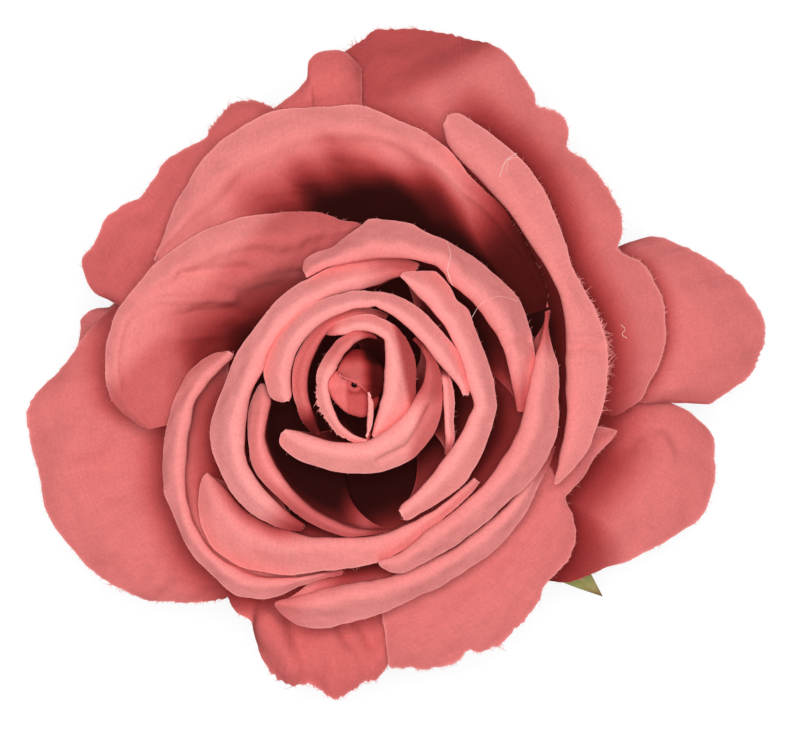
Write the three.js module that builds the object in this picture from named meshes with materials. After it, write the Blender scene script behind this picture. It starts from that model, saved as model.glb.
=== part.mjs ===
// Artificial rose flower head, in millimetres, standing on its calyx with the bloom facing +Z.
// The Z axis is the axis of the bud. +X is the long side of the bloom, +Y is its back.
// Each petal is one piece of stiffened cloth, glued by its narrow claw to a tapered post.
// The claws are stacked like tiles: the bud sits on top of the post and each later layer
// starts one cloth and one gap lower, so every petal wraps round the ones before it.
import * as THREE from "three";

// Cloth and clearances
const CLOTH = 0.45;
const GAP = 0.3;

// Plastic post that carries the bud and the petals
const POST_FOOT_RADIUS = 3.2;
const POST_TOP_RADIUS = 1.3;
const POST_SINK = 6.5;

// Plastic calyx cup under the petals
const CUP_FOOT_RADIUS = 6.5;
const CUP_WAIST_RADIUS = 8;
const CUP_LIP_RADIUS = 6;
const CUP_HEIGHT = 10;

// Sepals, cut as one star with a hub
const SEPAL_COUNT = 5;
const SEPAL_TURN = 319.4;
const SEPAL_HUB_RADIUS = 7;
const SEPAL_LONG_REACH = 47.2;
const SEPAL_REACH = 34;
const SEPAL_DROOP = 7;

// Rolled bud, deeper from front to back than it is wide
const BUD_FOOT_RADIUS = 1.5;
const BUD_RADIUS = 3.05;
const BUD_DEPTH = 8;
const BUD_TIP_RADIUS = 0.9;
const BUD_HEIGHT = 10.4;
const BUD_DIMPLE = 1.2;

// Petals: reach of the longest one from the axis, the slope of the claws, their width as a
// share of the petal, and the mesh steps in degrees
const BLOOM_REACH = 59.1;
const CLAW_SLOPE = 0.6;
const CLAW_WIDTH = 0.5;
const CUP_STEP = 10;
const GUARD_STEP = 6;

const DEGREE = Math.PI / 180;

// Every petal, from the bud outwards. The table's longest radius stands for the bloom's reach.
// rim: stations round the axis, each [angle in degrees, fold radius, cut edge radius].
// rise: height of the rim over the petal's own claw. fall: how far the edge hangs below the rim.
// sag: how much lower the rim is at the petal's two sides. belly: how far the wall swells
// outside the fold. lean: 0 for an upright wall, 1 for one that slopes all the way to the claw.
const PETALS = [
  {
    name: "bud_wrap", rise: 12.2, fall: 0.2, sag: 0.8, belly: 1.1, lean: 0,
    rim: [[288, 4.6, 5.2], [300, 3.1, 3.8], [320, 2.4, 3.1], [345, 2.3, 3], [380, 2.5, 3.2], [440, 3, 3.4]],
  },
  {
    name: "heart_petal_left", rise: 13.2, fall: 0.8, sag: 1.5, belly: 0.3, lean: 0,
    rim: [
      [80, 6.9, 7.5], [90, 6.2, 7.2], [100, 5.2, 6.7], [120, 4.1, 6], [140, 3.6, 5.5], [165, 3.8, 5.3],
      [200, 3.8, 5.5], [225, 4.4, 5.9], [250, 5.8, 7.1], [270, 7.1, 7.8], [281, 7.7, 8],
    ],
  },
  {
    name: "heart_petal_right", rise: 14.4, fall: 1.2, sag: 2.5, belly: 0.3, lean: 0,
    rim: [
      [291, 7.2, 7.8], [300, 6, 7.9], [330, 4.5, 8.1], [350, 4.3, 8.4], [370, 4.4, 8.6], [390, 5.1, 9.1],
      [410, 6.8, 9.7], [420, 7.8, 9.8], [435, 8, 9.6], [450, 8, 9.3], [460, 7.6, 8.8], [476, 7.7, 8],
    ],
  },
  {
    name: "heart_petal_back", rise: 12.6, fall: 0.6, sag: 2, belly: 0.2, lean: 0.1,
    rim: [
      [65, 10.3, 10.8], [80, 10, 10.9], [100, 9.3, 10], [120, 8.4, 9.5], [140, 7.3, 8.9], [160, 6.9, 8.7],
      [190, 6.8, 8.4], [215, 7.2, 8.6], [232, 8.1, 8.6],
    ],
  },
  {
    name: "heart_petal_front", rise: 15.8, fall: 1.8, sag: 1.8, belly: 0.3, lean: 0,
    rim: [
      [214, 11.2, 12], [219, 10.4, 13], [228, 9.6, 13], [245, 8.9, 12.4], [265, 8.5, 12.1], [290, 8.3, 12.5],
      [310, 8.3, 12.8], [335, 8.9, 12.6], [350, 9.2, 12.3], [365, 9.6, 12], [380, 10.9, 11.8], [385, 11.3, 11.6],
    ],
  },
  {
    name: "inner_petal_right_small", rise: 14.6, fall: 0.6, sag: 2.5, belly: 0.2, lean: 0,
    rim: [[324, 15.8, 16.1], [332, 14.7, 15.6], [342, 13.3, 14.6], [355, 12.6, 13.9], [366, 12.3, 13.1], [371, 12.2, 12.6]],
  },
  {
    name: "inner_petal_back", rise: 18, fall: 1.6, sag: 1.6, belly: 0.3, lean: 0,
    rim: [
      [-5, 15.6, 15.9], [0, 15, 15.8], [6, 14, 15.5], [14, 13, 15.1], [22, 12.2, 14.8], [40, 11.5, 14],
      [60, 11.5, 13.8], [75, 11.5, 13.3], [90, 11, 13], [110, 10.5, 12.6], [130, 10.1, 12.7], [150, 9.6, 12.8],
      [170, 9.1, 12.6], [184, 9, 12], [192, 9.3, 10.4],
    ],
  },
  {
    name: "inner_petal_left_small", rise: 14.8, fall: 1, sag: 3, belly: 0.2, lean: 0.1,
    rim: [
      [180, 12.9, 13.2], [187, 12.4, 14.3], [200, 13.3, 15.8], [210, 14.7, 16.7], [222, 15.9, 18.3],
      [237, 17.2, 19.1], [250, 18.5, 20], [265, 20, 20.9], [281, 20.8, 21.1],
    ],
  },
  {
    name: "inner_petal_right", rise: 18.6, fall: 1.6, sag: 2, belly: 0.3, lean: 0,
    rim: [
      [291, 19.4, 19.8], [296, 18, 19.7], [310, 16.8, 19.8], [330, 16.7, 19.7], [350, 17.2, 19.6],
      [357, 16.5, 19.4], [365, 16, 19.1], [385, 15.5, 18.5], [400, 15.2, 18.4], [410, 15.5, 18.7], [424, 16.5, 17.4],
    ],
  },
  {
    name: "inner_petal_left", rise: 19, fall: 1.8, sag: 1.8, belly: 0.3, lean: 0,
    rim: [
      [63, 18.1, 19], [72, 16, 18.6], [82, 14.2, 17.8], [95, 13.3, 16.8], [115, 13, 15.9], [140, 13.2, 15.7],
      [160, 13.3, 16.6], [172, 13.4, 17.4], [182, 14.6, 18.4], [192, 16.1, 20], [205, 17.6, 22], [222, 19.2, 22.6],
      [237, 20.3, 22.6], [250, 20.8, 21.8],
    ],
  },
  {
    name: "middle_petal_upper_right", rise: 19.6, fall: 1.6, sag: 2.4, belly: 0.3, lean: 0,
    rim: [
      [-8, 23.4, 23.9], [-3, 22.8, 24.2], [4, 22.1, 24.9], [12, 21.7, 25.5], [25, 20.9, 25.8], [35, 20.5, 25.1],
      [50, 20.4, 24.2], [62, 19.9, 23.5], [75, 18.9, 23.6], [86, 18.1, 22.9], [94, 17.6, 20.6], [106, 17.1, 19],
      [113, 16.9, 17.4],
    ],
  },
  {
    name: "middle_petal_front", rise: 17.6, fall: 1.6, sag: 2, belly: 0.3, lean: 0,
    rim: [
      [214, 25.5, 26], [219, 24.9, 28], [227, 24.4, 30.2], [237, 23.7, 30.4], [247, 23, 29.1], [258, 22.2, 27.4],
      [272, 21.5, 25.5], [287, 21.3, 24], [305, 20.9, 22.4], [322, 21.4, 22.2],
    ],
  },
  {
    name: "middle_petal_lower_right", rise: 20.4, fall: 1.8, sag: 2, belly: 0.3, lean: 0,
    rim: [
      [279, 25.2, 25.6], [286, 24.6, 27], [300, 23.1, 26.5], [320, 23.2, 26.9], [335, 23.8, 28.2], [345, 24.4, 29.1],
      [355, 24.9, 28.8], [365, 26, 28.5], [375, 27.2, 28.1], [381, 28.6, 29.1],
    ],
  },
  {
    name: "middle_petal_left", rise: 17.8, fall: 2, sag: 2.4, belly: 0.3, lean: 0.05,
    rim: [
      [168, 18.6, 19], [176, 20.2, 22.8], [188, 23, 26.2], [200, 25.6, 28.6], [212, 28.4, 31], [224, 30.9, 33],
      [237, 31.2, 34], [248, 29.6, 32.4], [257, 27.9, 29], [265, 26.5, 26.9],
    ],
  },
  {
    name: "middle_petal_bottom", rise: 17, fall: 2, sag: 2.4, belly: 0.3, lean: 0,
    rim: [
      [251, 32.9, 33.3], [256, 30.8, 34.7], [264, 28.9, 34.4], [277, 28, 32.5], [290, 27.5, 31], [310, 27.3, 30.6],
      [322, 27.8, 30.3], [333, 28.3, 29.5], [343, 29, 29.5],
    ],
  },
  {
    name: "broad_petal_left", rise: 18.4, fall: 2.2, sag: 3.4, belly: 0.2, lean: 0.7,
    rim: [
      [88, 22.9, 23.3], [97, 21, 24], [110, 21, 26.3], [122, 22.6, 28.4], [135, 25.3, 30.8], [149, 29.2, 33.3],
      [162, 32.4, 35.3], [175, 33.2, 35.6], [184, 32, 34.6], [192, 29.4, 30.2],
    ],
  },
  {
    name: "broad_petal_top", rise: 17.2, fall: 2, sag: 1.6, belly: 0.2, lean: 0.55,
    rim: [
      [45, 31.3, 31.9], [52, 30.4, 33], [62, 30.9, 34.2], [75, 33, 37.5], [90, 34.5, 39.9], [105, 34.2, 40.5],
      [120, 32.8, 39.6], [132, 32.4, 37], [142, 33.2, 34.4], [148, 33.4, 33.8],
    ],
  },
  {
    name: "broad_petal_right", rise: 21.4, fall: 3, sag: 2.6, belly: 0.8, lean: 0, throat: 17,
    rim: [
      [334, 31.5, 31.9], [342, 30.8, 33], [352, 30.3, 35], [365, 30, 36], [378, 31.3, 35.6], [390, 32, 35.4],
      [402, 32.3, 37.8], [414, 33.6, 40], [424, 35.2, 41], [431, 38.6, 40.6],
    ],
  },
  {
    name: "guard_petal_bottom_right", rise: 14, fall: 2.4, sag: 1.6, belly: 0, lean: 0.5, throat: 14,
    rim: [
      [277, 34.5, 39.8], [283, 34.5, 42], [298, 34.5, 42.2], [312, 33.5, 40.2], [325, 32.5, 38.4],
      [332, 32.5, 35], [340, 33.2, 35.2], [350, 36.8, 38.1],
    ],
  },
  {
    name: "guard_petal_top", rise: 17, fall: 1.5, sag: 2, belly: 0, lean: 0.5, throat: 14,
    rim: [[89, 41.5, 45], [94, 42, 47.4], [98, 41, 46], [103, 39.5, 42.2], [108, 39, 40.4]],
  },
  {
    name: "guard_petal_top_right", rise: 15.4, fall: 3.6, sag: 2.4, belly: 0, lean: 0.5, throat: 13.6,
    rim: [
      [-6, 34, 38.5], [2, 35, 42.6], [14, 36, 45.4], [23, 36, 44.4], [28, 35.6, 42.4], [36, 36, 45.4],
      [48, 37, 46], [56, 38, 48.2], [66, 39, 51.6], [78, 40, 51.6], [87, 40, 50.2], [95, 39.6, 46.4],
    ],
  },
  {
    name: "guard_petal_top_left", rise: 14.4, fall: 2.8, sag: 2, belly: 0, lean: 0.5, throat: 13.2,
    rim: [
      [104, 33, 38], [112, 34, 43.6], [122, 34, 41.4], [135, 34, 41.2], [147, 34.5, 42.6], [155, 34.5, 42.9],
      [161, 33, 37],
    ],
  },
  {
    name: "guard_petal_left", rise: 14, fall: 3.2, sag: 2.4, belly: 0, lean: 0.5, throat: 12.8,
    rim: [
      [162.5, 30, 35.9], [169, 33, 39.2], [178, 35, 42.6], [186, 37, 47.2], [203, 38, 47.6], [217, 36.5, 45.5],
      [228, 34, 41.4], [239, 31, 35.5],
    ],
  },
  {
    name: "guard_petal_bottom_left", rise: 14.2, fall: 2.6, sag: 1.6, belly: 0, lean: 0.5, throat: 12.4,
    rim: [[240, 32, 35.8], [245, 33, 37.4], [253, 35, 42.6], [261, 36, 44], [268, 36, 44.4], [277, 34, 40.4], [284, 32, 37]],
  },
  {
    name: "guard_petal_right", rise: 13.6, fall: 4.8, sag: 2, belly: 0, lean: 0.5, throat: 12,
    rim: [[-3.6, 36, 46.5], [-2, 38, 51.8], [4, 41, 57.8], [8.5, 42, 59.1], [14, 41, 57.2], [20, 39, 53.2], [27, 36, 46.8]],
  },
  {
    name: "guard_petal_right_lower", rise: 12, fall: 3.8, sag: 2.6, belly: 0, lean: 0.5, throat: 11.6,
    rim: [
      [311, 30, 36], [316, 32, 40.6], [325, 35, 45.6], [332, 37, 49], [340, 39, 53.1], [348, 39, 52.8],
      [353, 38, 50.4], [358, 36, 44],
    ],
  },
  {
    name: "guard_petal_left_under", rise: 8.6, fall: 1.6, sag: 0.6, belly: 0, lean: 0.5, throat: 11.2,
    rim: [[158, 30, 33], [162, 32, 36.6], [167, 33, 40.3], [173, 33, 39.6], [179, 31, 36]],
  },
];

// Colours
const CORAL = 0xe2807c;
const DEEP_CORAL = 0xc65b5a;
const LEAF_GREEN = 0x969b55;
const STEM_GREEN = 0x7b8a4a;

// Values that follow from the sizes above
const TABLE_REACH = Math.max(...PETALS.flatMap((petal) => petal.rim.map((station) => station[2])));
const TABLE_UNIT = BLOOM_REACH / TABLE_REACH;
const CLAW_PITCH = (CLOTH + GAP) * Math.hypot(1, CLAW_SLOPE);
const HUB_Z = CUP_HEIGHT + GAP + CLOTH / 2;
const LOWEST_CLAW_Z = HUB_Z + 2 * CLAW_PITCH;
const TOP_CLAW_Z = LOWEST_CLAW_Z + (PETALS.length - 1) * CLAW_PITCH;
const POST_TOP_Z = TOP_CLAW_Z + CLAW_PITCH;
const POST_FOOT_Z = CUP_HEIGHT - POST_SINK;

// Stops of a petal's profile from claw to cut edge: claw, throat, wall, fold, ridge, edge.
// A petal has its full width from the shoulder up.
const STOPS = [0, 0.22, 0.5, 0.72, 0.86, 1];
const SHOULDER = 0.6;
const PROFILE_STEPS = [0, 0.22, 0.38, 0.5, 0.62, 0.72, 0.79, 0.86, 0.93, 1];

// How far a rim too narrow to roll over drops at its fold and at its edge
const FOLD_DROP = 1.2 * TABLE_UNIT;
const EDGE_DROP = 0.5 * TABLE_UNIT;

// A smooth curve through points that never swings past them:
// cubic pieces whose slope at a point is the harmonic mean of the slopes beside it.
function smoothCurve(xs, ys) {
  const rise = ys.slice(1).map((y, i) => (y - ys[i]) / (xs[i + 1] - xs[i]));
  const slope = ys.map((_, i) => {
    const before = rise[Math.max(i - 1, 0)];
    const after = rise[Math.min(i, rise.length - 1)];
    return before * after > 0 ? (2 * before * after) / (before + after) : 0;
  });
  return (x) => {
    let i = xs.findIndex((_, k) => x <= xs[k + 1]);
    if (i < 0) i = rise.length - 1;
    const width = xs[i + 1] - xs[i];
    const t = THREE.MathUtils.clamp((x - xs[i]) / width, 0, 1);
    const bend = t * (1 - t) * width;
    const eased = t * t * (3 - 2 * t);
    const level = ys[i] + (ys[i + 1] - ys[i]) * eased;
    return level + bend * ((1 - t) * slope[i] - t * slope[i + 1]);
  };
}

// Radius of the post at a height
function postRadius(z) {
  const share = (z - CUP_HEIGHT) / (POST_TOP_Z - CUP_HEIGHT);
  return THREE.MathUtils.lerp(POST_FOOT_RADIUS, POST_TOP_RADIUS, THREE.MathUtils.clamp(share, 0, 1));
}

// Middle surface of a petal: the point at a share u across it and a share v from claw to edge.
// The profile in the plane through the axis runs claw, throat, wall, fold, ridge, edge.
function petalSurface(petal, clawZ) {
  const angles = petal.rim.map((station) => station[0]);
  const foldRadius = smoothCurve(angles, petal.rim.map((station) => station[1] * TABLE_UNIT));
  const edgeRadius = smoothCurve(angles, petal.rim.map((station) => station[2] * TABLE_UNIT));
  const [rise, fall, sag, belly] = [petal.rise, petal.fall, petal.sag, petal.belly].map((size) => size * TABLE_UNIT);
  const first = angles[0];
  const last = angles[angles.length - 1];
  const clawRadius = postRadius(clawZ) + GAP + CLOTH / 2;

  return (u, v) => {
    const share = THREE.MathUtils.smoothstep(v, 0, SHOULDER);
    const side = (2 * u - 1) * THREE.MathUtils.lerp(CLAW_WIDTH, 1, share);
    const angle = (first + last) / 2 + (side * (last - first)) / 2;
    const band = edgeRadius(angle) - foldRadius(angle);
    const roll = THREE.MathUtils.smoothstep(band, CLOTH / 2, 2.5 * CLOTH);
    const width = Math.max(band - CLOTH, 0) * roll;
    const fold = foldRadius(angle) + THREE.MathUtils.lerp(band / 2, CLOTH / 2, roll);
    const throat = Math.min(THREE.MathUtils.lerp(clawRadius, fold, 0.72), (petal.throat ?? Infinity) * TABLE_UNIT);
    const throatZ = clawZ + CLAW_SLOPE * (throat - clawRadius);
    const rimZ = clawZ + rise - sag * Math.abs(side) ** 4;
    const foldDrop = THREE.MathUtils.lerp(FOLD_DROP, 0.3 * (1 - petal.lean) * width, roll);
    const wall = THREE.MathUtils.lerp(fold + belly, throat, petal.lean);
    const wallZ = THREE.MathUtils.lerp(throatZ, rimZ, 0.5 + 0.25 * petal.lean);

    const radii = [clawRadius, throat, wall, fold, fold + 0.42 * width, fold + width];
    const heights = [
      clawZ, throatZ, wallZ, rimZ - foldDrop,
      rimZ - THREE.MathUtils.lerp(EDGE_DROP, 0, roll), rimZ - fall * roll,
    ];
    const radius = smoothCurve(STOPS, radii)(v);
    const z = smoothCurve(STOPS, heights)(v);
    return new THREE.Vector3(
      radius * Math.cos(angle * DEGREE), radius * Math.sin(angle * DEGREE), z,
    );
  };
}

// A closed sheet of cloth: both faces of a grid of points, pushed apart along its normals,
// and a border strip all round. A grid that closes on itself has no side borders.
function clothSheet(grid, closed) {
  const rows = grid.length;
  const columns = grid[0].length;
  const wrap = (j) => (closed ? (j + columns) % columns : THREE.MathUtils.clamp(j, 0, columns - 1));
  const positions = [];
  for (const facing of [1, -1]) {
    for (let i = 0; i < rows; i += 1) {
      for (let j = 0; j < columns; j += 1) {
        const along = grid[Math.min(i + 1, rows - 1)][j].clone().sub(grid[Math.max(i - 1, 0)][j]);
        const across = grid[i][wrap(j + 1)].clone().sub(grid[i][wrap(j - 1)]);
        const normal = across.cross(along).normalize();
        positions.push(...grid[i][j].clone().addScaledVector(normal, (facing * CLOTH) / 2).toArray());
      }
    }
  }
  const at = (face, i, j) => (face * rows + i) * columns + wrap(j);
  const triangles = [];
  const quad = (a, b, c, d) => triangles.push(a, b, c, a, c, d);
  const spans = closed ? columns : columns - 1;
  for (let j = 0; j < spans; j += 1) {
    for (let i = 0; i < rows - 1; i += 1) {
      quad(at(0, i, j), at(0, i, j + 1), at(0, i + 1, j + 1), at(0, i + 1, j));
      quad(at(1, i, j), at(1, i + 1, j), at(1, i + 1, j + 1), at(1, i, j + 1));
    }
    quad(at(0, 0, j), at(1, 0, j), at(1, 0, j + 1), at(0, 0, j + 1));
    quad(at(0, rows - 1, j), at(0, rows - 1, j + 1), at(1, rows - 1, j + 1), at(1, rows - 1, j));
  }
  for (let i = 0; !closed && i < rows - 1; i += 1) {
    quad(at(0, i, 0), at(0, i + 1, 0), at(1, i + 1, 0), at(1, i, 0));
    quad(at(0, i, spans), at(1, i, spans), at(1, i + 1, spans), at(0, i + 1, spans));
  }
  const geometry = new THREE.BufferGeometry();
  geometry.setAttribute("position", new THREE.Float32BufferAttribute(positions, 3));
  geometry.setIndex(triangles);
  geometry.computeVertexNormals();
  return geometry;
}

function petalGeometry(petal, clawZ) {
  const surface = petalSurface(petal, clawZ);
  const span = petal.rim[petal.rim.length - 1][0] - petal.rim[0][0];
  const step = petal.throat ? GUARD_STEP : CUP_STEP;
  const across = Math.max(8, Math.round(span / step));
  const grid = PROFILE_STEPS.map((v) =>
    Array.from({ length: across + 1 }, (_, j) => surface(j / across, v)),
  );
  return clothSheet(grid, false);
}

// Rolled strip of cloth with a small dimple where the roll closes
function budGeometry() {
  const foot = POST_TOP_Z + GAP;
  const outline = new THREE.SplineCurve([
    new THREE.Vector2(BUD_FOOT_RADIUS, foot),
    new THREE.Vector2(BUD_RADIUS, foot + 0.4 * BUD_HEIGHT),
    new THREE.Vector2(0.9 * BUD_RADIUS, foot + 0.65 * BUD_HEIGHT),
    new THREE.Vector2(0.55 * BUD_RADIUS, foot + 0.88 * BUD_HEIGHT),
    new THREE.Vector2(BUD_TIP_RADIUS, foot + BUD_HEIGHT),
  ]).getPoints(7);
  const profile = [
    new THREE.Vector2(0, foot),
    ...outline,
    new THREE.Vector2(BUD_TIP_RADIUS / 2, foot + BUD_HEIGHT - BUD_DIMPLE),
    new THREE.Vector2(0, foot + BUD_HEIGHT - BUD_DIMPLE),
  ];
  return latheUpright(profile, 20).scale(1, BUD_DEPTH / (2 * BUD_RADIUS), 1);
}

// LatheGeometry turns round Y, so its solid is stood up on Z
function latheUpright(profile, segments) {
  return new THREE.LatheGeometry(profile, segments).rotateX(Math.PI / 2);
}

function postGeometry() {
  return latheUpright([
    new THREE.Vector2(0, POST_FOOT_Z),
    new THREE.Vector2(POST_FOOT_RADIUS, POST_FOOT_Z),
    new THREE.Vector2(POST_FOOT_RADIUS, CUP_HEIGHT),
    new THREE.Vector2(POST_TOP_RADIUS, POST_TOP_Z),
    new THREE.Vector2(0, POST_TOP_Z),
  ], 24);
}

// Cup with a flat foot and a socket for the post
function calyxGeometry() {
  const socket = POST_FOOT_RADIUS + GAP;
  return latheUpright([
    new THREE.Vector2(0, 0),
    new THREE.Vector2(CUP_FOOT_RADIUS, 0),
    new THREE.Vector2(CUP_WAIST_RADIUS, 0.3 * CUP_HEIGHT),
    new THREE.Vector2(CUP_WAIST_RADIUS, 0.6 * CUP_HEIGHT),
    new THREE.Vector2(CUP_LIP_RADIUS, CUP_HEIGHT),
    new THREE.Vector2(socket, CUP_HEIGHT),
    new THREE.Vector2(socket, POST_FOOT_Z - GAP),
    new THREE.Vector2(0, POST_FOOT_Z - GAP),
  ], 28);
}

// Star of sepals: the reach falls off from each tip with the square of the angle to it.
// The sepal that shows beside the bloom lies out flat, and the others droop.
function sepalGeometry() {
  const steps = 10;
  const hubHole = POST_FOOT_RADIUS + GAP;
  const along = [0, 0.12, 0.3, 0.5, 0.75, 1];
  const grid = along.map((share) =>
    Array.from({ length: SEPAL_COUNT * steps }, (_, j) => {
      const sepal = Math.round(j / steps) % SEPAL_COUNT;
      const offTip = Math.abs(j / steps - Math.round(j / steps)) * 2;
      const tip = sepal === 0 ? SEPAL_LONG_REACH : SEPAL_REACH;
      const droop = sepal === 0 ? 0 : SEPAL_DROOP;
      const reach = SEPAL_HUB_RADIUS + (tip - SEPAL_HUB_RADIUS) * (1 - offTip) ** 2;
      const radius = THREE.MathUtils.lerp(hubHole, reach, share);
      const far = Math.max(radius - SEPAL_HUB_RADIUS, 0) / (SEPAL_LONG_REACH - SEPAL_HUB_RADIUS);
      const angle = (SEPAL_TURN + (j / steps) * (360 / SEPAL_COUNT)) * DEGREE;
      const z = HUB_Z + 2 * far - droop * far;
      return new THREE.Vector3(radius * Math.cos(angle), radius * Math.sin(angle), z);
    }),
  );
  return clothSheet(grid, true);
}

function named(name, geometry, color, roughness) {
  const mesh = new THREE.Mesh(
    geometry,
    new THREE.MeshStandardMaterial({ color, roughness, metalness: 0 }),
  );
  mesh.name = name;
  return mesh;
}

const rose = new THREE.Group();
rose.add(named("calyx_cup", calyxGeometry(), STEM_GREEN, 0.55));
rose.add(named("core_post", postGeometry(), STEM_GREEN, 0.55));
rose.add(named("sepals", sepalGeometry(), LEAF_GREEN, 0.9));
rose.add(named("bud", budGeometry(), DEEP_CORAL, 0.95));
PETALS.forEach((petal, layer) => {
  const clawZ = TOP_CLAW_Z - layer * CLAW_PITCH;
  rose.add(named(petal.name, petalGeometry(petal, clawZ), CORAL, 0.95));
});

export default rose;
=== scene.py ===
"""An artificial rose head of coral cloth petals, seen from straight above on a pale table."""

import bpy
import numpy as np
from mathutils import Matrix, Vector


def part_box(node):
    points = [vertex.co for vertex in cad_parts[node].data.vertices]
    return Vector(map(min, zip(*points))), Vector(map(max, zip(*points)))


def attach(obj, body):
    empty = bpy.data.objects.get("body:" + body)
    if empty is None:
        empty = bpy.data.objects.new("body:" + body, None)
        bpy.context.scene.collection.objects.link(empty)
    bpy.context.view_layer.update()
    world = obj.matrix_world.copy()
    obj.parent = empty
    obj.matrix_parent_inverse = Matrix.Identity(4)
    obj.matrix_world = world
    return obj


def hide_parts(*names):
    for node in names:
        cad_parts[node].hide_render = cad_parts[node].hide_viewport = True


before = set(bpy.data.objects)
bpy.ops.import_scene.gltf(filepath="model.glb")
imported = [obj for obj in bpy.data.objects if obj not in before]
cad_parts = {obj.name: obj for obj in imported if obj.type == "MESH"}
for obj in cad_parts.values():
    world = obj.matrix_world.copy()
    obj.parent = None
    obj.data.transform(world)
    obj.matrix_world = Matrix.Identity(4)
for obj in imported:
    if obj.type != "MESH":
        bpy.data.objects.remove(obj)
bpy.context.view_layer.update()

# The picture is taken from straight above with a long lens, so the petals show no perspective.
# The rose's own axis stands left of the middle of the picture and a little below it.
MM = 0.001
PICTURE_WIDTH = 114.3
PICTURE_MIDDLE = (6.43, 2.43)
PETAL_LEVEL = 34.0
CAMERA_HEIGHT = 1500.0

camera_data = bpy.data.cameras.new("camera")
camera_data.sensor_width = 36.0
camera_data.lens = 36.0 * (CAMERA_HEIGHT - PETAL_LEVEL) / PICTURE_WIDTH
camera_data.clip_end = 20.0
camera = bpy.data.objects.new("camera", camera_data)
camera.location = (PICTURE_MIDDLE[0] * MM, PICTURE_MIDDLE[1] * MM, CAMERA_HEIGHT * MM)
bpy.context.scene.collection.objects.link(camera)
bpy.context.scene.camera = camera
bpy.context.scene.view_settings.view_transform = "Standard"


# The studio is a white table and a white surround, with one large soft lamp near the camera and
# a second one from the lower edge of the picture, so the petals' far sides fall into soft shade.
OVERHEAD_POWER = 25.2
SIDE_POWER = 3.6
SURROUND_LIGHT = 0.14


def soft_lamp(name, power, size, place, aim):
    lamp_data = bpy.data.lights.new(name, "AREA")
    lamp_data.shape = "DISK"
    lamp_data.energy = power
    lamp_data.size = size
    lamp = bpy.data.objects.new(name, lamp_data)
    lamp.location = place
    lamp.rotation_euler = aim
    bpy.context.scene.collection.objects.link(lamp)


soft_lamp("overhead_lamp", OVERHEAD_POWER, 0.75, (0.0, 0.1, 1.7), (-0.06, 0.0, 0.0))
soft_lamp("side_lamp", SIDE_POWER, 0.6, (0.1, -0.95, 1.15), (0.69, 0.08, 0.0))

world = bpy.data.worlds.new("surround")
world.use_nodes = True
world_nodes = world.node_tree.nodes
world_links = world.node_tree.links
world_path = world_nodes.new("ShaderNodeLightPath")
surround = world_nodes["Background"]
surround.inputs["Color"].default_value = (1.0, 1.0, 1.0, 1.0)
surround.inputs["Strength"].default_value = SURROUND_LIGHT
backdrop = world_nodes.new("ShaderNodeBackground")
backdrop.inputs["Strength"].default_value = 1.0
seen = world_nodes.new("ShaderNodeMath")
seen.operation = "MAXIMUM"
world_links.new(world_path.outputs["Is Camera Ray"], seen.inputs[0])
world_links.new(world_path.outputs["Is Glossy Ray"], seen.inputs[1])
seen_any = world_nodes.new("ShaderNodeMath")
seen_any.operation = "MAXIMUM"
world_links.new(seen.outputs[0], seen_any.inputs[0])
world_links.new(world_path.outputs["Is Transmission Ray"], seen_any.inputs[1])
world_mix = world_nodes.new("ShaderNodeMixShader")
world_links.new(seen_any.outputs[0], world_mix.inputs["Fac"])
world_links.new(surround.outputs[0], world_mix.inputs[1])
world_links.new(backdrop.outputs[0], world_mix.inputs[2])
world_links.new(world_mix.outputs[0], world_nodes["World Output"].inputs["Surface"])
bpy.context.scene.world = world



def new_material(name):
    """A material with nodes, then its node list, its link list and its surface shader."""
    material = bpy.data.materials.new(name)
    material.use_nodes = True
    tree = material.node_tree
    return material, tree.nodes, tree.links, tree.nodes["Principled BSDF"]


TABLE_HALF_WIDTH = 2.5
TABLE_GLOW = 0.84

table_mesh = bpy.data.meshes.new("table")
table_mesh.from_pydata(
    [
        (x * TABLE_HALF_WIDTH, y * TABLE_HALF_WIDTH, 0.0)
        for x, y in ((-1, -1), (1, -1), (1, 1), (-1, 1))
    ],
    [],
    [(0, 1, 2, 3)],
)
table = bpy.data.objects.new("table", table_mesh)
bpy.context.scene.collection.objects.link(table)
table_cloth, table_nodes, table_links, table_face = new_material("white_table")
table_face.inputs["Base Color"].default_value = (0.2, 0.2, 0.2, 1.0)
table_face.inputs["Roughness"].default_value = 0.9
table_path = table_nodes.new("ShaderNodeLightPath")
table_glow = table_nodes.new("ShaderNodeMath")
table_glow.operation = "MULTIPLY"
table_glow.inputs[1].default_value = TABLE_GLOW
table_links.new(table_path.outputs["Is Camera Ray"], table_glow.inputs[0])
table_face.inputs["Emission Color"].default_value = (1.0, 1.0, 1.0, 1.0)
table_links.new(table_glow.outputs[0], table_face.inputs["Emission Strength"])
table_mesh.materials.append(table_cloth)


# The calyx cup and the post that carries the petals are moulded green plastic with a matt skin.
# They keep their solids, and only get their finish here.
CALYX_GREEN = (0.16, 0.23, 0.065, 1.0)
CALYX_SHADE = (0.09, 0.14, 0.04, 1.0)

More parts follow.
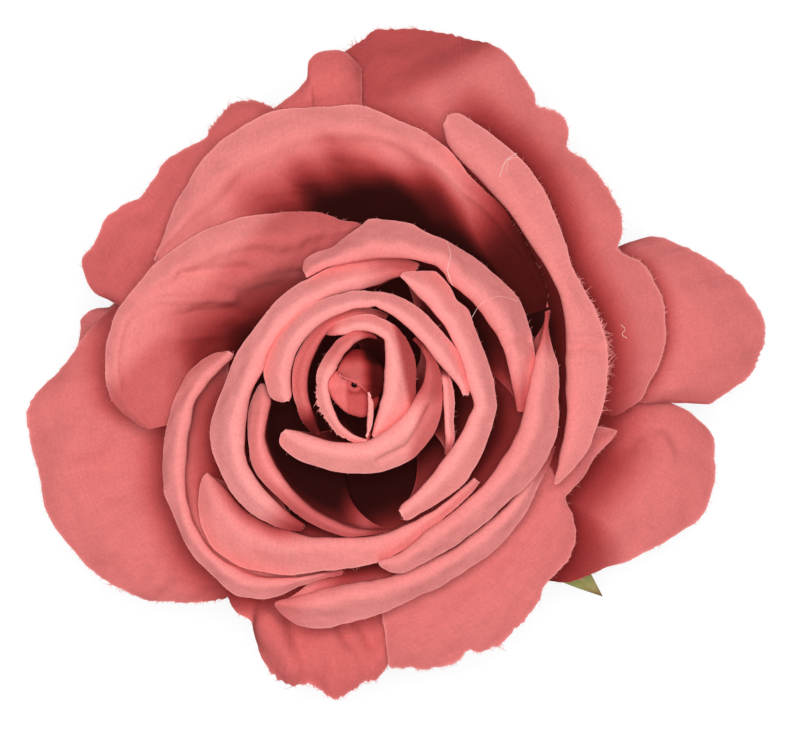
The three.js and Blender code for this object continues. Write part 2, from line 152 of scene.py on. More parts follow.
calyx_plastic, calyx_nodes, calyx_links, calyx_face = new_material("moulded_green_plastic")
calyx_face.inputs["Roughness"].default_value = 0.55
calyx_place = calyx_nodes.new("ShaderNodeTexCoord")
calyx_mottle = calyx_nodes.new("ShaderNodeTexNoise")
calyx_mottle.inputs["Scale"].default_value = 260.0
calyx_mottle.inputs["Detail"].default_value = 4.0
calyx_links.new(calyx_place.outputs["Object"], calyx_mottle.inputs["Vector"])
calyx_colour = calyx_nodes.new("ShaderNodeMix")
calyx_colour.data_type = "RGBA"
calyx_colour.inputs["A"].default_value = CALYX_SHADE
calyx_colour.inputs["B"].default_value = CALYX_GREEN
calyx_links.new(calyx_mottle.outputs["Fac"], calyx_colour.inputs["Factor"])
calyx_links.new(calyx_colour.outputs["Result"], calyx_face.inputs["Base Color"])
calyx_grain = calyx_nodes.new("ShaderNodeBump")
calyx_grain.inputs["Strength"].default_value = 0.15
calyx_grain.inputs["Distance"].default_value = 0.0004
calyx_links.new(calyx_mottle.outputs["Fac"], calyx_grain.inputs["Height"])
calyx_links.new(calyx_grain.outputs["Normal"], calyx_face.inputs["Normal"])

for plastic_node in ("calyx_cup", "core_post"):
    plastic_object = bpy.data.objects[plastic_node]
    plastic_object.data.materials.clear()
    plastic_object.data.materials.append(calyx_plastic)


# Every petal is one piece of thin plain-woven cloth, dyed coral, stiffened and pressed to shape.
# This section holds what all of them share: the cloth, the petal's form and its frayed edge.
CLOTH_THICKNESS = 0.3
THREAD_PITCH = 0.29
CLOTH_UPPER_CLEARANCE = 0.28
CLAW_SLOPE = 0.6
CLAW_WIDTH = 0.5
SHOULDER = 0.6
CAD_CLOTH = 0.45
CAD_GAP = 0.3
PROFILE_STOPS = np.array([0.0, 0.22, 0.5, 0.72, 0.86, 1.0])


def woven_cloth_group():
    """Weave, dye and edge wear of a plain cloth, with painted shade and painted glow on top. Warp and
    weft are two sine waves across the UV, one over the other by turns. Dye varies with slow noise,
    and threads with stretched noise. The painted_shade attribute, times Painted Shade Weight, darkens
    the colour through a ramp down to a near-black red: painted shade deep in the cup and in the gaps
    between petals. Painted Glow is emission that stands in for light: a faint red glow all over, in
    place of light that comes through the cloth, and a stronger painted glow along the fuzzy cut edge."""
    group = bpy.data.node_groups.new("woven_cloth", "ShaderNodeTree")
    sockets = group.interface
    for label, kind in (
        ("Face", "NodeSocketColor"),
        ("Shade", "NodeSocketColor"),
        ("Fray", "NodeSocketColor"),
    ):
        sockets.new_socket(label, in_out="INPUT", socket_type=kind)
    pitch = sockets.new_socket("Thread Pitch", in_out="INPUT", socket_type="NodeSocketFloat")
    pitch.default_value = THREAD_PITCH * MM
    sockets.new_socket("Depth Dye", in_out="INPUT", socket_type="NodeSocketFloat")
    sockets.new_socket("Color", in_out="OUTPUT", socket_type="NodeSocketColor")
    sockets.new_socket("Height", in_out="OUTPUT", socket_type="NodeSocketFloat")
    sockets.new_socket("Roughness", in_out="OUTPUT", socket_type="NodeSocketFloat")
    sockets.new_socket("Glow", in_out="OUTPUT", socket_type="NodeSocketColor")
    nodes = group.nodes
    links = group.links
    given = nodes.new("NodeGroupInput")
    result = nodes.new("NodeGroupOutput")

    def math(operation, first, second=None, third=None):
        node = nodes.new("ShaderNodeMath")
        node.operation = operation
        for socket, value in zip(node.inputs, (first, second, third)):
            if value is None:
                continue
            if isinstance(value, (int, float)):
                socket.default_value = value
            else:
                links.new(value, socket)
        return node.outputs[0]

    def blend(factor, first, second, kind="MIX"):
        node = nodes.new("ShaderNodeMix")
        node.data_type = "RGBA"
        node.blend_type = kind
        for socket, value in (("Factor", factor), ("A", first), ("B", second)):
            if isinstance(value, (int, float, tuple)):
                node.inputs[socket].default_value = value
            else:
                links.new(value, node.inputs[socket])
        return node.outputs["Result"]

    place = nodes.new("ShaderNodeUVMap")
    place.uv_map = "cloth"
    split = nodes.new("ShaderNodeSeparateXYZ")
    links.new(place.outputs["UV"], split.inputs[0])
    turns = math("DIVIDE", 3.14159265, given.outputs["Thread Pitch"])
    across = math("MULTIPLY", split.outputs["X"], turns)
    along = math("MULTIPLY", split.outputs["Y"], turns)
    warp = math("ABSOLUTE", math("SINE", across))
    weft = math("ABSOLUTE", math("SINE", along))
    over = math("MULTIPLY", math("COSINE", across), math("COSINE", along))
    turn = math("GREATER_THAN", over, 0.0)
    weft_share = math("MULTIPLY", weft, math("SUBTRACT", 1.0, turn))
    weave = math("ADD", math("MULTIPLY", warp, turn), weft_share)

    streak_scale = nodes.new("ShaderNodeMapping")
    streak_scale.inputs["Scale"].default_value = (3200.0, 420.0, 1.0)
    links.new(place.outputs["UV"], streak_scale.inputs["Vector"])
    streaks = nodes.new("ShaderNodeTexNoise")
    streaks.inputs["Scale"].default_value = 1.0
    streaks.inputs["Detail"].default_value = 2.0
    links.new(streak_scale.outputs[0], streaks.inputs["Vector"])
    cross_scale = nodes.new("ShaderNodeMapping")
    cross_scale.inputs["Scale"].default_value = (420.0, 3200.0, 1.0)
    links.new(place.outputs["UV"], cross_scale.inputs["Vector"])
    cross_streaks = nodes.new("ShaderNodeTexNoise")
    cross_streaks.inputs["Scale"].default_value = 1.0
    cross_streaks.inputs["Detail"].default_value = 2.0
    links.new(cross_scale.outputs[0], cross_streaks.inputs["Vector"])
    threads = math("ADD", streaks.outputs["Fac"], cross_streaks.outputs["Fac"])

    solid_place = nodes.new("ShaderNodeTexCoord")
    dye = nodes.new("ShaderNodeTexNoise")
    dye.inputs["Scale"].default_value = 95.0
    dye.inputs["Detail"].default_value = 5.0
    dye.inputs["Roughness"].default_value = 0.6
    links.new(solid_place.outputs["Object"], dye.inputs["Vector"])
    dye_share = nodes.new("ShaderNodeMapRange")
    dye_share.inputs["From Min"].default_value = 0.35
    dye_share.inputs["From Max"].default_value = 0.7
    dye_share.inputs["To Max"].default_value = 0.17
    links.new(dye.outputs["Fac"], dye_share.inputs["Value"])

    cut = nodes.new("ShaderNodeAttribute")
    cut.attribute_name = "cut_edge"
    # depth reads the painted shade each petal carries: deep in the cup, at shaded ends and under the petals
    # above.
    depth = nodes.new("ShaderNodeAttribute")
    depth.attribute_name = "painted_shade"
    dyed_and_shaded = blend(dye_share.outputs[0], given.outputs["Face"], given.outputs["Shade"])
    painted_shade_amount = math("MULTIPLY", depth.outputs["Fac"], given.outputs["Depth Dye"])
    # A ramp turns the painted shade into a multiplier of the colour, from white through dusky red to
    # near-black red.
    painted_shade_ramp = nodes.new("ShaderNodeValToRGB")
    painted_shade_ramp.color_ramp.elements[0].color = (1.0, 1.0, 1.0, 1.0)
    painted_shade_ramp.color_ramp.elements[1].color = (0.022, 0.008, 0.007, 1.0)
    for stop, left in (
        (0.2, (0.8, 0.6, 0.61)),
        (0.4, (0.58, 0.3, 0.31)),
        (0.6, (0.36, 0.12, 0.125)),
        (0.8, (0.15, 0.042, 0.042)),
    ):
        painted_shade_ramp.color_ramp.elements.new(stop).color = (*left, 1.0)
    links.new(painted_shade_amount, painted_shade_ramp.inputs["Fac"])
    # The painted shade multiplies the dyed colour.
    dyed_and_shaded = blend(1.0, dyed_and_shaded, painted_shade_ramp.outputs["Color"], "MULTIPLY")
    fuzz = nodes.new("ShaderNodeTexNoise")
    fuzz.inputs["Scale"].default_value = 2600.0
    fuzz.inputs["Detail"].default_value = 2.0
    links.new(solid_place.outputs["Object"], fuzz.inputs["Vector"])
    thread_share = math("MULTIPLY", math("SUBTRACT", threads, 1.0), 0.18)
    fuzz_share = math("MULTIPLY", math("SUBTRACT", fuzz.outputs["Fac"], 0.5), 0.26)
    thread_share = math("ADD", thread_share, fuzz_share)
    bright = math("ADD", math("ADD", 0.95, math("MULTIPLY", weave, 0.08)), thread_share)
    tone = nodes.new("ShaderNodeCombineXYZ")
    for axis in range(3):
        links.new(bright, tone.inputs[axis])
    woven = blend(1.0, dyed_and_shaded, tone.outputs[0], "MULTIPLY")
    # The pale frayed threads near the cut edge fade out where the painted shade is dark.
    wear = math("MULTIPLY", math("POWER", cut.outputs["Fac"], 3.0), math("SUBTRACT", 0.25, painted_shade_amount))
    wear = math("MAXIMUM", wear, 0.0)
    links.new(blend(wear, woven, given.outputs["Fray"]), result.inputs["Color"])
    # Painted glow: along the cut edge the cloth glows with up to about a fifth of its face colour, less
    # where the painted shade is dark, and faintly red everywhere else.
    painted_rim_strength = math("SUBTRACT", 0.22, math("MULTIPLY", painted_shade_amount, 0.4))
    painted_rim_glow = math("MULTIPLY", math("POWER", cut.outputs["Fac"], 6.0), painted_rim_strength)
    painted_rim_glow = math("MAXIMUM", painted_rim_glow, 0.0)
    links.new(blend(painted_rim_glow, (0.009, 0.0014, 0.0012, 1.0), given.outputs["Face"]), result.inputs["Glow"])
    links.new(math("ADD", weave, math("MULTIPLY", threads, 0.8)), result.inputs["Height"])
    links.new(math("SUBTRACT", 0.95, math("MULTIPLY", weave, 0.1)), result.inputs["Roughness"])
    return group


WOVEN_CLOTH = woven_cloth_group()
FRAYED_CORAL = (0.93, 0.5, 0.47, 1.0)


def coral_cloth(name, face, shade, painted_shade_weight):
    """Coral cloth with its own colours: face is the open colour and shade the deeper blotches. Painted
    shade weight is how much of the painted depth shade shows on this side of the cloth."""
    cloth, nodes, links, surface = new_material(name)
    surface.inputs["Specular IOR Level"].default_value = 0.06
    weave = nodes.new("ShaderNodeGroup")
    weave.node_tree = WOVEN_CLOTH
    weave.inputs["Face"].default_value = face
    weave.inputs["Shade"].default_value = shade
    weave.inputs["Fray"].default_value = FRAYED_CORAL
    weave.inputs["Depth Dye"].default_value = painted_shade_weight
    links.new(weave.outputs["Color"], surface.inputs["Base Color"])
    links.new(weave.outputs["Roughness"], surface.inputs["Roughness"])
    # The painted glow drives the emission, so the cloth shines a little without a lamp.
    links.new(weave.outputs["Glow"], surface.inputs["Emission Color"])
    surface.inputs["Emission Strength"].default_value = 1.0
    bump = nodes.new("ShaderNodeBump")
    bump.inputs["Strength"].default_value = 0.35
    bump.inputs["Distance"].default_value = 0.00006
    links.new(weave.outputs["Height"], bump.inputs["Height"])
    links.new(bump.outputs["Normal"], surface.inputs["Normal"])
    return cloth


def petal_cloth(name, face, shade, outside=0.3):
    """The two sides of one cloth: the outer side first, then the inner one. They differ only in how much
    painted depth shade shows: outside gives the outer side's share, and the inner side shows all of it.
    """
    outer_side = coral_cloth(name + "_outside", face, shade, outside)
    return [outer_side, coral_cloth(name + "_inside", face, shade, 1.0)]


def smooth_curve(xs, ys, x):
    """Value at x of a smooth curve through points that never swings past them: cubic pieces
    whose slope at a point is the harmonic mean of the slopes beside it."""
    xs = np.asarray(xs, float)
    ys = np.asarray(ys, float)
    rise = np.diff(ys) / np.diff(xs)
    before = np.concatenate([rise[:1], rise])
    after = np.concatenate([rise, rise[-1:]])
    mean = 2 * before * after / np.where(before * after > 0, before + after, 1.0)
    slope = np.where(before * after > 0, mean, 0.0)
    piece = np.clip(np.searchsorted(xs, x, side="right") - 1, 0, len(xs) - 2)
    width = xs[piece + 1] - xs[piece]
    t = np.clip((x - xs[piece]) / width, 0, 1)
    level = ys[piece] + (ys[piece + 1] - ys[piece]) * t * t * (3 - 2 * t)
    return level + t * (1 - t) * width * ((1 - t) * slope[piece] - t * slope[piece + 1])


def profile_curve(stops, knots, v):
    """The same curve for a whole grid: knots[k] is the grid of values at stop k, and row i of
    the result lies at v[i] between the stops."""
    rise = np.diff(knots, axis=0) / np.diff(stops)[:, None, None]
    before = np.concatenate([rise[:1], rise])
    after = np.concatenate([rise, rise[-1:]])
    mean = 2 * before * after / np.where(before * after > 0, before + after, 1.0)
    slope = np.where(before * after > 0, mean, 0.0)
    piece = np.clip(np.searchsorted(stops, v, side="right") - 1, 0, len(stops) - 2)
    rows = np.arange(len(v))
    width = (stops[piece + 1] - stops[piece])[:, None]
    t = (v[:, None] - stops[piece][:, None]) / width
    low = knots[piece, rows]
    high = knots[piece + 1, rows]
    bend = (1 - t) * slope[piece, rows] - t * slope[piece + 1, rows]
    return low + (high - low) * t * t * (3 - 2 * t) + t * (1 - t) * width * bend


def ease(x, low, high):
    """0 at low and 1 at high, level beyond them, and a smooth step between."""
    t = np.clip((x - low) / (high - low), 0, 1)
    return t * t * (3 - 2 * t)


def slow_waves(points, wavelength, seed, count=9):
    """Soft irregular waves between about -1 and 1: a sum of plane sine waves through space of
    nearly one length, each with its own direction and start."""
    draw = np.random.default_rng(seed)
    total = np.zeros(points.shape[:-1])
    for _ in range(count):
        aim = draw.normal(0, 1, 3)
        aim = aim / np.linalg.norm(aim) / (wavelength * draw.uniform(0.7, 1.6))
        total = total + np.sin(2 * np.pi * (points @ aim + draw.uniform()))
    return total / count ** 0.5 / 1.2


def soften(grid, times):
    """Each inner row becomes the mean of itself and the rows beside it, several times over."""
    for _ in range(times):
        grid = grid.copy()
        grid[1:-1] = 0.25 * grid[:-2] + 0.5 * grid[1:-1] + 0.25 * grid[2:]
    return grid


POST_TIP_RADIUS = 1.3


def post_radius(z):
    """Radius of the tapered post at a height, read from its solid and that of the cup."""
    low, high = (np.array(corner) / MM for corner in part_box("core_post"))
    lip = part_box("calyx_cup")[1][2] / MM
    foot = (high[0] - low[0]) / 2
    return foot + (POST_TIP_RADIUS - foot) * np.clip((z - lip) / (high[2] - lip), 0, 1)


def petal_form(petal, across, rows):
    """Middle surface of a petal as a grid of points in mm, from claw to cut edge, and the painted
    shade at each point. In a plane through the axis its profile runs claw, throat, wall, fold, ridge,
    edge; fold and edge radii vary round the axis as the rim's stations say, and the claw is half as
    wide. The painted shade grows with depth below the fold, and the keys ends, under and
    shaded_side add painted shade at the petal's ends, painted shadow under the cut edge of a petal
    above, and painted shade past a line across the petal."""
    rim = np.array(petal["rim"], float)
    RIMS[petal["name"]] = rim
    claw_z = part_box(petal["name"])[0][2] / MM + 0.17
    claw_radius = post_radius(claw_z) + CAD_GAP + CAD_CLOTH / 2
    u = np.linspace(-1, 1, across)
    u = 0.7 * u + 0.3 * np.sin(u * np.pi / 2)
    v = np.interp(np.linspace(0, 1, rows), (0, 0.1, 0.3, 0.52, 0.78, 1), PROFILE_STOPS)
    side = u[None, :] * (CLAW_WIDTH + (1 - CLAW_WIDTH) * ease(v, 0, SHOULDER))[:, None]
    middle = (rim[0, 0] + rim[-1, 0]) / 2
    half = (rim[-1, 0] - rim[0, 0]) / 2
    angle = middle + side * half
    fold_at = smooth_curve(rim[:, 0], rim[:, 1], angle)
    edge_at = smooth_curve(rim[:, 0], rim[:, 2], angle)
    seed = petal["seed"]
    turned = np.radians(angle)
    rim_place = np.stack([edge_at * np.cos(turned), edge_at * np.sin(turned), 0 * angle], -1)
    nick = slow_waves(rim_place, 3.2, seed + 1) + 0.6 * slow_waves(rim_place, 1.2, seed + 2)
    spread = petal.get("spread", 0.3)
    edge_at = edge_at + petal.get("ragged", 0.04) * nick + spread
    for a0, a1, depth in petal.get("worn", ()):
        bitten = slow_waves(rim_place, 0.75, seed + 6) + 0.5 * slow_waves(rim_place, 0.4, seed + 7)
        edge_at = edge_at + depth * bitten * ease(angle, a0 - 2, a0 + 2) * ease(angle, a1 + 2, a1 - 2)
    fold_at = fold_at - 0.3 * spread
    band = edge_at - fold_at
    roll = ease(band, 0.2, 1.1)
    width = np.maximum(band - CLOTH_THICKNESS, 0) * roll
    fold = fold_at + band / 2 + (CLOTH_THICKNESS / 2 - band / 2) * roll
    throat = claw_radius + (fold - claw_radius) * 0.72
    throat = np.minimum(throat, petal.get("throat", 99.0))
    throat_z = claw_z + CLAW_SLOPE * (throat - claw_radius)
    wobble = petal.get("wobble", 0.2) * slow_waves(rim_place, 12.0, seed + 3)
    first_tuck, last_tuck = petal.get("tuck", (0.0, 0.0))
    tuck = first_tuck * ease(-side, 0.7, 1.0) + last_tuck * ease(side, 0.7, 1.0)
    rim_z = claw_z + petal["rise"] - petal["sag"] * side ** 4 + petal.get("tilt", 0.0) * side + wobble - tuck
    lean = petal.get("lean", 0.0)
    wall = (fold + petal.get("belly", 0.3)) * (1 - lean) + throat * lean
    wall_z = throat_z + (rim_z - throat_z) * (0.5 + 0.25 * lean)
    fold_drop = 1.2 + (petal.get("inner_drop", 0.2) * width - 1.2) * roll
    ridge = petal.get("ridge", 0.34)
    curl = petal.get("curl", 0.7) * width
    radii = np.array([claw_radius + 0 * fold, throat, wall, fold, fold + ridge * width, fold + width])
    heights = np.array([
        claw_z + 0 * fold,
        throat_z,
        wall_z,
        rim_z - fold_drop,
        rim_z - 0.5 * (1 - roll),
        rim_z - curl * roll,
    ])
    radius = soften(profile_curve(PROFILE_STOPS, radii, v), petal.get("soft", 4))
    z = soften(profile_curve(PROFILE_STOPS, heights, v), petal.get("soft", 4))
    form = np.stack([radius * np.cos(turned), radius * np.sin(turned), z], -1)
    size = petal.get("ruffle_size", 8.0)
    ruffles = slow_waves(form, size, seed) + 0.35 * slow_waves(form, size / 3, seed + 4)
    push = petal.get("ruffle", 0.1) * ruffles
    push = push * ease(v, 0.25, 0.5)[:, None]
    for crease in petal.get("creases", ()):
        push = push + crease_depth(crease, angle, radius)
    normal = np.cross(np.gradient(form, axis=1), np.gradient(form, axis=0))
    normal = normal / np.maximum(np.linalg.norm(normal, axis=-1, keepdims=True), 1e-9)
    # Painted shade: from the length of cloth between a point and the fold, with slow waves added, darkening
    # from dark_from to dark_to mm below the fold, sooner or later across the petal as dark_turn says.
    below = np.cumsum(np.hypot(np.diff(radius, axis=0), np.diff(z, axis=0))[::-1], axis=0)[::-1]
    below = np.concatenate([below, 0 * below[:1]]) - width
    below = below + petal.get("dark_waves", 0.0) * slow_waves(form, 6.0, seed + 5)
    dark_from, dark_to = petal.get("dark", (0.0, 10.0))
    dark = ease(below * (1 - petal.get("dark_turn", 0.0) * side), dark_from, dark_to)
    # Painted shade over the ends of the petal, rising from nothing at clear_at to amount at dark_at degrees.
    for clear_at, dark_at, amount in petal.get("ends", ()):
        dark = np.maximum(dark, amount * ease(angle, clear_at, dark_at))
    # Painted shadow under each petal above: full inside its cut edge and fading out over reach mm beyond it,
    # only along that petal's length.
    for above, amount, reach in petal.get("under", ()):
        edge, there = edge_of(above, angle)
        dark = np.maximum(dark, amount * (1 - ease(radius - edge, 0.0, reach)) * there)
    # Painted shade on the left of the line from the first point to the second; lift also pushes the cloth
    # out there.
    for (a0, r0), (a1, r1), amount, width_off, lift in petal.get("shaded_side", ()):
        start = place_at(a0, r0)
        run = place_at(a1, r1) - start
        run = run / np.linalg.norm(run)
        off = (form[..., 0] - start[0]) * -run[1] + (form[..., 1] - start[1]) * run[0]
        shade = ease(off, -width_off, width_off)
        dark = np.maximum(dark, amount * shade)
        push = push + lift * shade * ease(v, 0.5, 0.7)[:, None] * np.minimum(np.maximum(off, 0), 4.0)
    return form + normal * push[..., None], dark


RIMS = {}
FORMS = {}


def edge_of(name, angle):
    """Cut-edge radius of an earlier petal at each angle, and how fully the petal is there: 1 along
    it, and 0 beyond its ends."""
    rim = RIMS[name]
    turned = rim[0, 0] - 20 + (angle - rim[0, 0] + 20) % 360
    edge = smooth_curve(rim[:, 0], rim[:, 2], np.clip(turned, rim[0, 0], rim[-1, 0]))
    return edge, ease(turned, rim[0, 0] - 4, rim[0, 0] + 8) * ease(turned, rim[-1, 0] + 4, rim[-1, 0] - 8)


def place_at(angle, radius):
    """A point seen from above, from its angle in degrees and its radius."""
    return np.array([radius * np.cos(np.radians(angle)), radius * np.sin(np.radians(angle))])


def crease_depth(crease, angle, radius):
    """Height of a pressed crease: a bell across the line between two points of the petal,
    given as (angle, radius) each, fading out towards the line's ends."""
    (a0, r0), (a1, r1), height, width = crease
    start = place_at(a0, r0)
    end = place_at(a1, r1)
    x = radius * np.cos(np.radians(angle)) - start[0]
    y = radius * np.sin(np.radians(angle)) - start[1]
    line = end - start
    length = np.hypot(*line)
    run = (x * line[0] + y * line[1]) / length
    off = (x * line[1] - y * line[0]) / length
    ends = ease(run, -width, width) * ease(-run, -length - width, -length + width)
    return height * np.exp(-((off / width) ** 2)) * ends


def cloth_mesh(name, form, dark, cloth):
    """A sheet of cloth over a grid of points in mm: quads between neighbours, a UV in metres
    measured along the cloth, and two values that the cloth's colour reads, how near the cut
    edge a point lies and how much painted shade it gets."""
    rows, across = form.shape[:2]
    mesh = bpy.data.meshes.new(name)
    corner = np.arange(rows * across).reshape(rows, across)
    quads = np.stack([corner[:-1, :-1], corner[:-1, 1:], corner[1:, 1:], corner[1:, :-1]], -1)
    mesh.from_pydata((form.reshape(-1, 3) * MM).tolist(), [], quads.reshape(-1, 4).tolist())
    mesh.polygons.foreach_set("use_smooth", np.ones(len(mesh.polygons), bool))
    step_along = np.linalg.norm(np.diff(form, axis=0), axis=-1)
    step_across = np.linalg.norm(np.diff(form, axis=1), axis=-1)
    along = np.concatenate([np.zeros((1, across)), np.cumsum(step_along, axis=0)])
    sideways = np.concatenate([np.zeros((rows, 1)), np.cumsum(step_across, axis=1)], axis=1)
    sideways = sideways - sideways[:, across // 2:across // 2 + 1]
    uv = np.stack([sideways, along], -1).reshape(-1, 2) * MM
    layer = mesh.uv_layers.new(name="cloth")
    vertex = np.empty(len(mesh.loops), int)
    mesh.loops.foreach_get("vertex_index", vertex)
    layer.data.foreach_set("uv", uv[vertex].ravel())
    to_side = np.minimum(sideways - sideways[:, :1], sideways[:, -1:] - sideways)
    to_edge = np.minimum(along[-1:] - along, to_side)
    near = np.exp(-np.maximum(to_edge, 0) / 0.5)
    cut = mesh.attributes.new("cut_edge", "FLOAT", "POINT")
    cut.data.foreach_set("value", near.ravel())
    painted_shade_layer = mesh.attributes.new("painted_shade", "FLOAT", "POINT")
    painted_shade_layer.data.foreach_set("value", dark.ravel())
    for side in cloth:
        mesh.materials.append(side)
    piece = bpy.data.objects.new(name, mesh)
    bpy.context.scene.collection.objects.link(piece)
    thick = piece.modifiers.new("cloth_thickness", "SOLIDIFY")
    thick.thickness = CLOTH_THICKNESS * MM
    thick.offset = 0.0
    thick.material_offset = len(mesh.materials) - 1
    crisp = piece.modifiers.new("crisp_cut", "EDGE_SPLIT")
    crisp.split_angle = np.radians(50)
    area = float(np.sum(np.linalg.norm(
        np.cross(form[1:, :-1] - form[:-1, :-1], form[:-1, 1:] - form[:-1, :-1]), axis=-1,
    )))
    cut_size = (float(step_across.sum(1).max()), float(step_along.sum(0).max()))
    return piece, cut_size, area


def frayed_edge(name, line, outward, amount, reach_mm, cloth, seed, thread_radius=0.028):
    """Loose thread ends along a cut edge: thin three-sided spikes that start on the line, leave it
    outwards at a random slant, and bend by the square of the way along them."""
    draw = np.random.default_rng(seed)
    steps = np.linalg.norm(np.diff(line, axis=0), axis=1)
    reach = np.concatenate([[0], np.cumsum(steps)])
    count = max(int(reach[-1] * amount), 3)
    at = draw.uniform(0, reach[-1], count)
    root = np.stack([np.interp(at, reach, line[:, k]) for k in range(3)], -1)
    out = np.stack([np.interp(at, reach, outward[:, k]) for k in range(3)], -1)
    run = np.stack([np.interp(at, reach, np.gradient(line[:, k])) for k in range(3)], -1)
    run = run / np.maximum(np.linalg.norm(run, axis=1, keepdims=True), 1e-9)
    lift = np.cross(run, out)
    length = np.minimum(0.12 + draw.gamma(1.3, reach_mm, count), 8 * reach_mm)[:, None]
    aim = out + run * draw.normal(0, 0.75, (count, 1)) + lift * draw.normal(0, 0.35, (count, 1))
    aim = aim / np.linalg.norm(aim, axis=1, keepdims=True)
    curl = run * draw.normal(0, 0.6, (count, 1)) + lift * draw.normal(0, 0.5, (count, 1))
    share = np.linspace(0, 1, 4)[None, :, None]
    spine = root[:, None] + (aim[:, None] * share + curl[:, None] * share ** 2 * 0.6) * length[:, None]
    thick = (thread_radius * (1 - 0.7 * share)) * draw.uniform(0.7, 1.3, (count, 1, 1))
    turn = np.radians([90, 210, 330])
    side = np.cross(aim, [0.31, 0.52, 0.79])
    side = side / np.maximum(np.linalg.norm(side, axis=1, keepdims=True), 1e-9)
    other = np.cross(aim, side)
    ring = side[:, None] * np.cos(turn)[None, :, None] + other[:, None] * np.sin(turn)[None, :, None]
    points = spine[:, :, None] + ring[:, None] * thick[:, :, None]
    number = np.arange(count * 12).reshape(count, 4, 3)
    after = np.roll(number, -1, axis=2)
    walls = np.stack([number[:, :-1], after[:, :-1], after[:, 1:], number[:, 1:]], -1).reshape(-1, 4)
    ends = np.concatenate([number[:, 0, ::-1], number[:, -1]]).tolist()
    mesh = bpy.data.meshes.new(name)
    mesh.from_pydata((points.reshape(-1, 3) * MM).tolist(), [], walls.tolist() + ends)
    mesh.materials.append(cloth)
    piece = bpy.data.objects.new(name, mesh)
    bpy.context.scene.collection.objects.link(piece)
    return piece


def frayed_thread(name, colour, paler):
    """Bare thread ends, paler than the cloth because the dye sits less deep on them."""
    thread, nodes, links, surface = new_material(name)
    surface.inputs["Roughness"].default_value = 0.8
    surface.inputs["Specular IOR Level"].default_value = 0.2
    place = nodes.new("ShaderNodeTexCoord")
    mottle = nodes.new("ShaderNodeTexNoise")
    mottle.inputs["Scale"].default_value = 900.0
    links.new(place.outputs["Object"], mottle.inputs["Vector"])
    shade = nodes.new("ShaderNodeMix")
    shade.data_type = "RGBA"
    shade.inputs["A"].default_value = colour
    shade.inputs["B"].default_value = paler
    links.new(mottle.outputs["Fac"], shade.inputs["Factor"])
    links.new(shade.outputs["Result"], surface.inputs["Base Color"])
    return thread


THREAD_END = frayed_thread("coral_thread_end", (0.8, 0.22, 0.205, 1.0), (0.88, 0.36, 0.33, 1.0))
LINT = frayed_thread("pale_lint", (0.95, 0.72, 0.68, 1.0), (0.93, 0.55, 0.52, 1.0))


def make_petal(petal, cloth, across, rows):
    """One petal in place of its solid, with its frayed edge."""
    form, dark = petal_form(petal, across, rows)
    FORMS[petal["name"]] = form
    piece, cut_size, area = cloth_mesh(petal["name"] + "_cloth", form, dark, cloth)
    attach(piece, "root")
    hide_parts(petal["name"])
    border = np.concatenate([form[rows // 2:, 0], form[-1, 1:-1], form[rows // 2:, -1][::-1]])
    inner = np.concatenate([form[rows // 2:, 2], form[-3, 1:-1], form[rows // 2:, -3][::-1]])
    outward = border - inner
    outward = outward / np.maximum(np.linalg.norm(outward, axis=1, keepdims=True), 1e-9)
    fringe = frayed_edge(
        petal["name"] + "_fray", border, outward, petal.get("fray", 3.0), petal.get("fray_reach", 0.12),
        THREAD_END, petal["seed"] + 9,
    )
    fringes = [fringe]
    turned = np.degrees(np.arctan2(border[:, 1], border[:, 0]))
    for number, (a0, a1, amount, reach) in enumerate(petal.get("fray_spots", ())):
        worn = (turned - a0) % 360 < a1 - a0
        fringes.append(frayed_edge(
            petal["name"] + "_worn_" + str(number), border[worn], outward[worn], amount, reach,
            THREAD_END, petal["seed"] + 70 + number, 0.05,
        ))
    for threads in fringes:
        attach(threads, "root")


# The bud is two small pieces of cloth rolled to a cone round the tip of the post. The inner one
# leaves a pinhole in the middle, and the outer one leans over it from the back like a hood.
BUD_CLOTH = [coral_cloth("bud_cloth", (0.78, 0.185, 0.176, 1.0), (0.62, 0.106, 0.098, 1.0), 1.0)]
BUD_RIM = 46.9
BUD_ROLL = [
    (140, 0.75, 2.9), (152, 0.7, 3.6), (165, 0.7, 4.0), (180, 0.65, 4.0), (199, 0.6, 3.6), (229, 0.55, 3.6),
    (258, 0.55, 4.05), (290, 0.55, 4.6), (318, 0.6, 4.2), (350, 0.5, 3.3), (400, 0.4, 2.8),
]
BUD_HOOD = [
    (-34, 2.4, 3.1), (-25, 1.7, 3.5), (-10, 0.95, 3.9), (0, 0.62, 4.1), (25, 0.5, 4.4), (45, 0.46, 4.7),
    (70, 0.42, 5.1), (90, 0.4, 5.0), (105, 0.44, 4.4), (120, 0.65, 3.7), (139, 1.45, 3.0), (146, 2.4, 2.7),
]


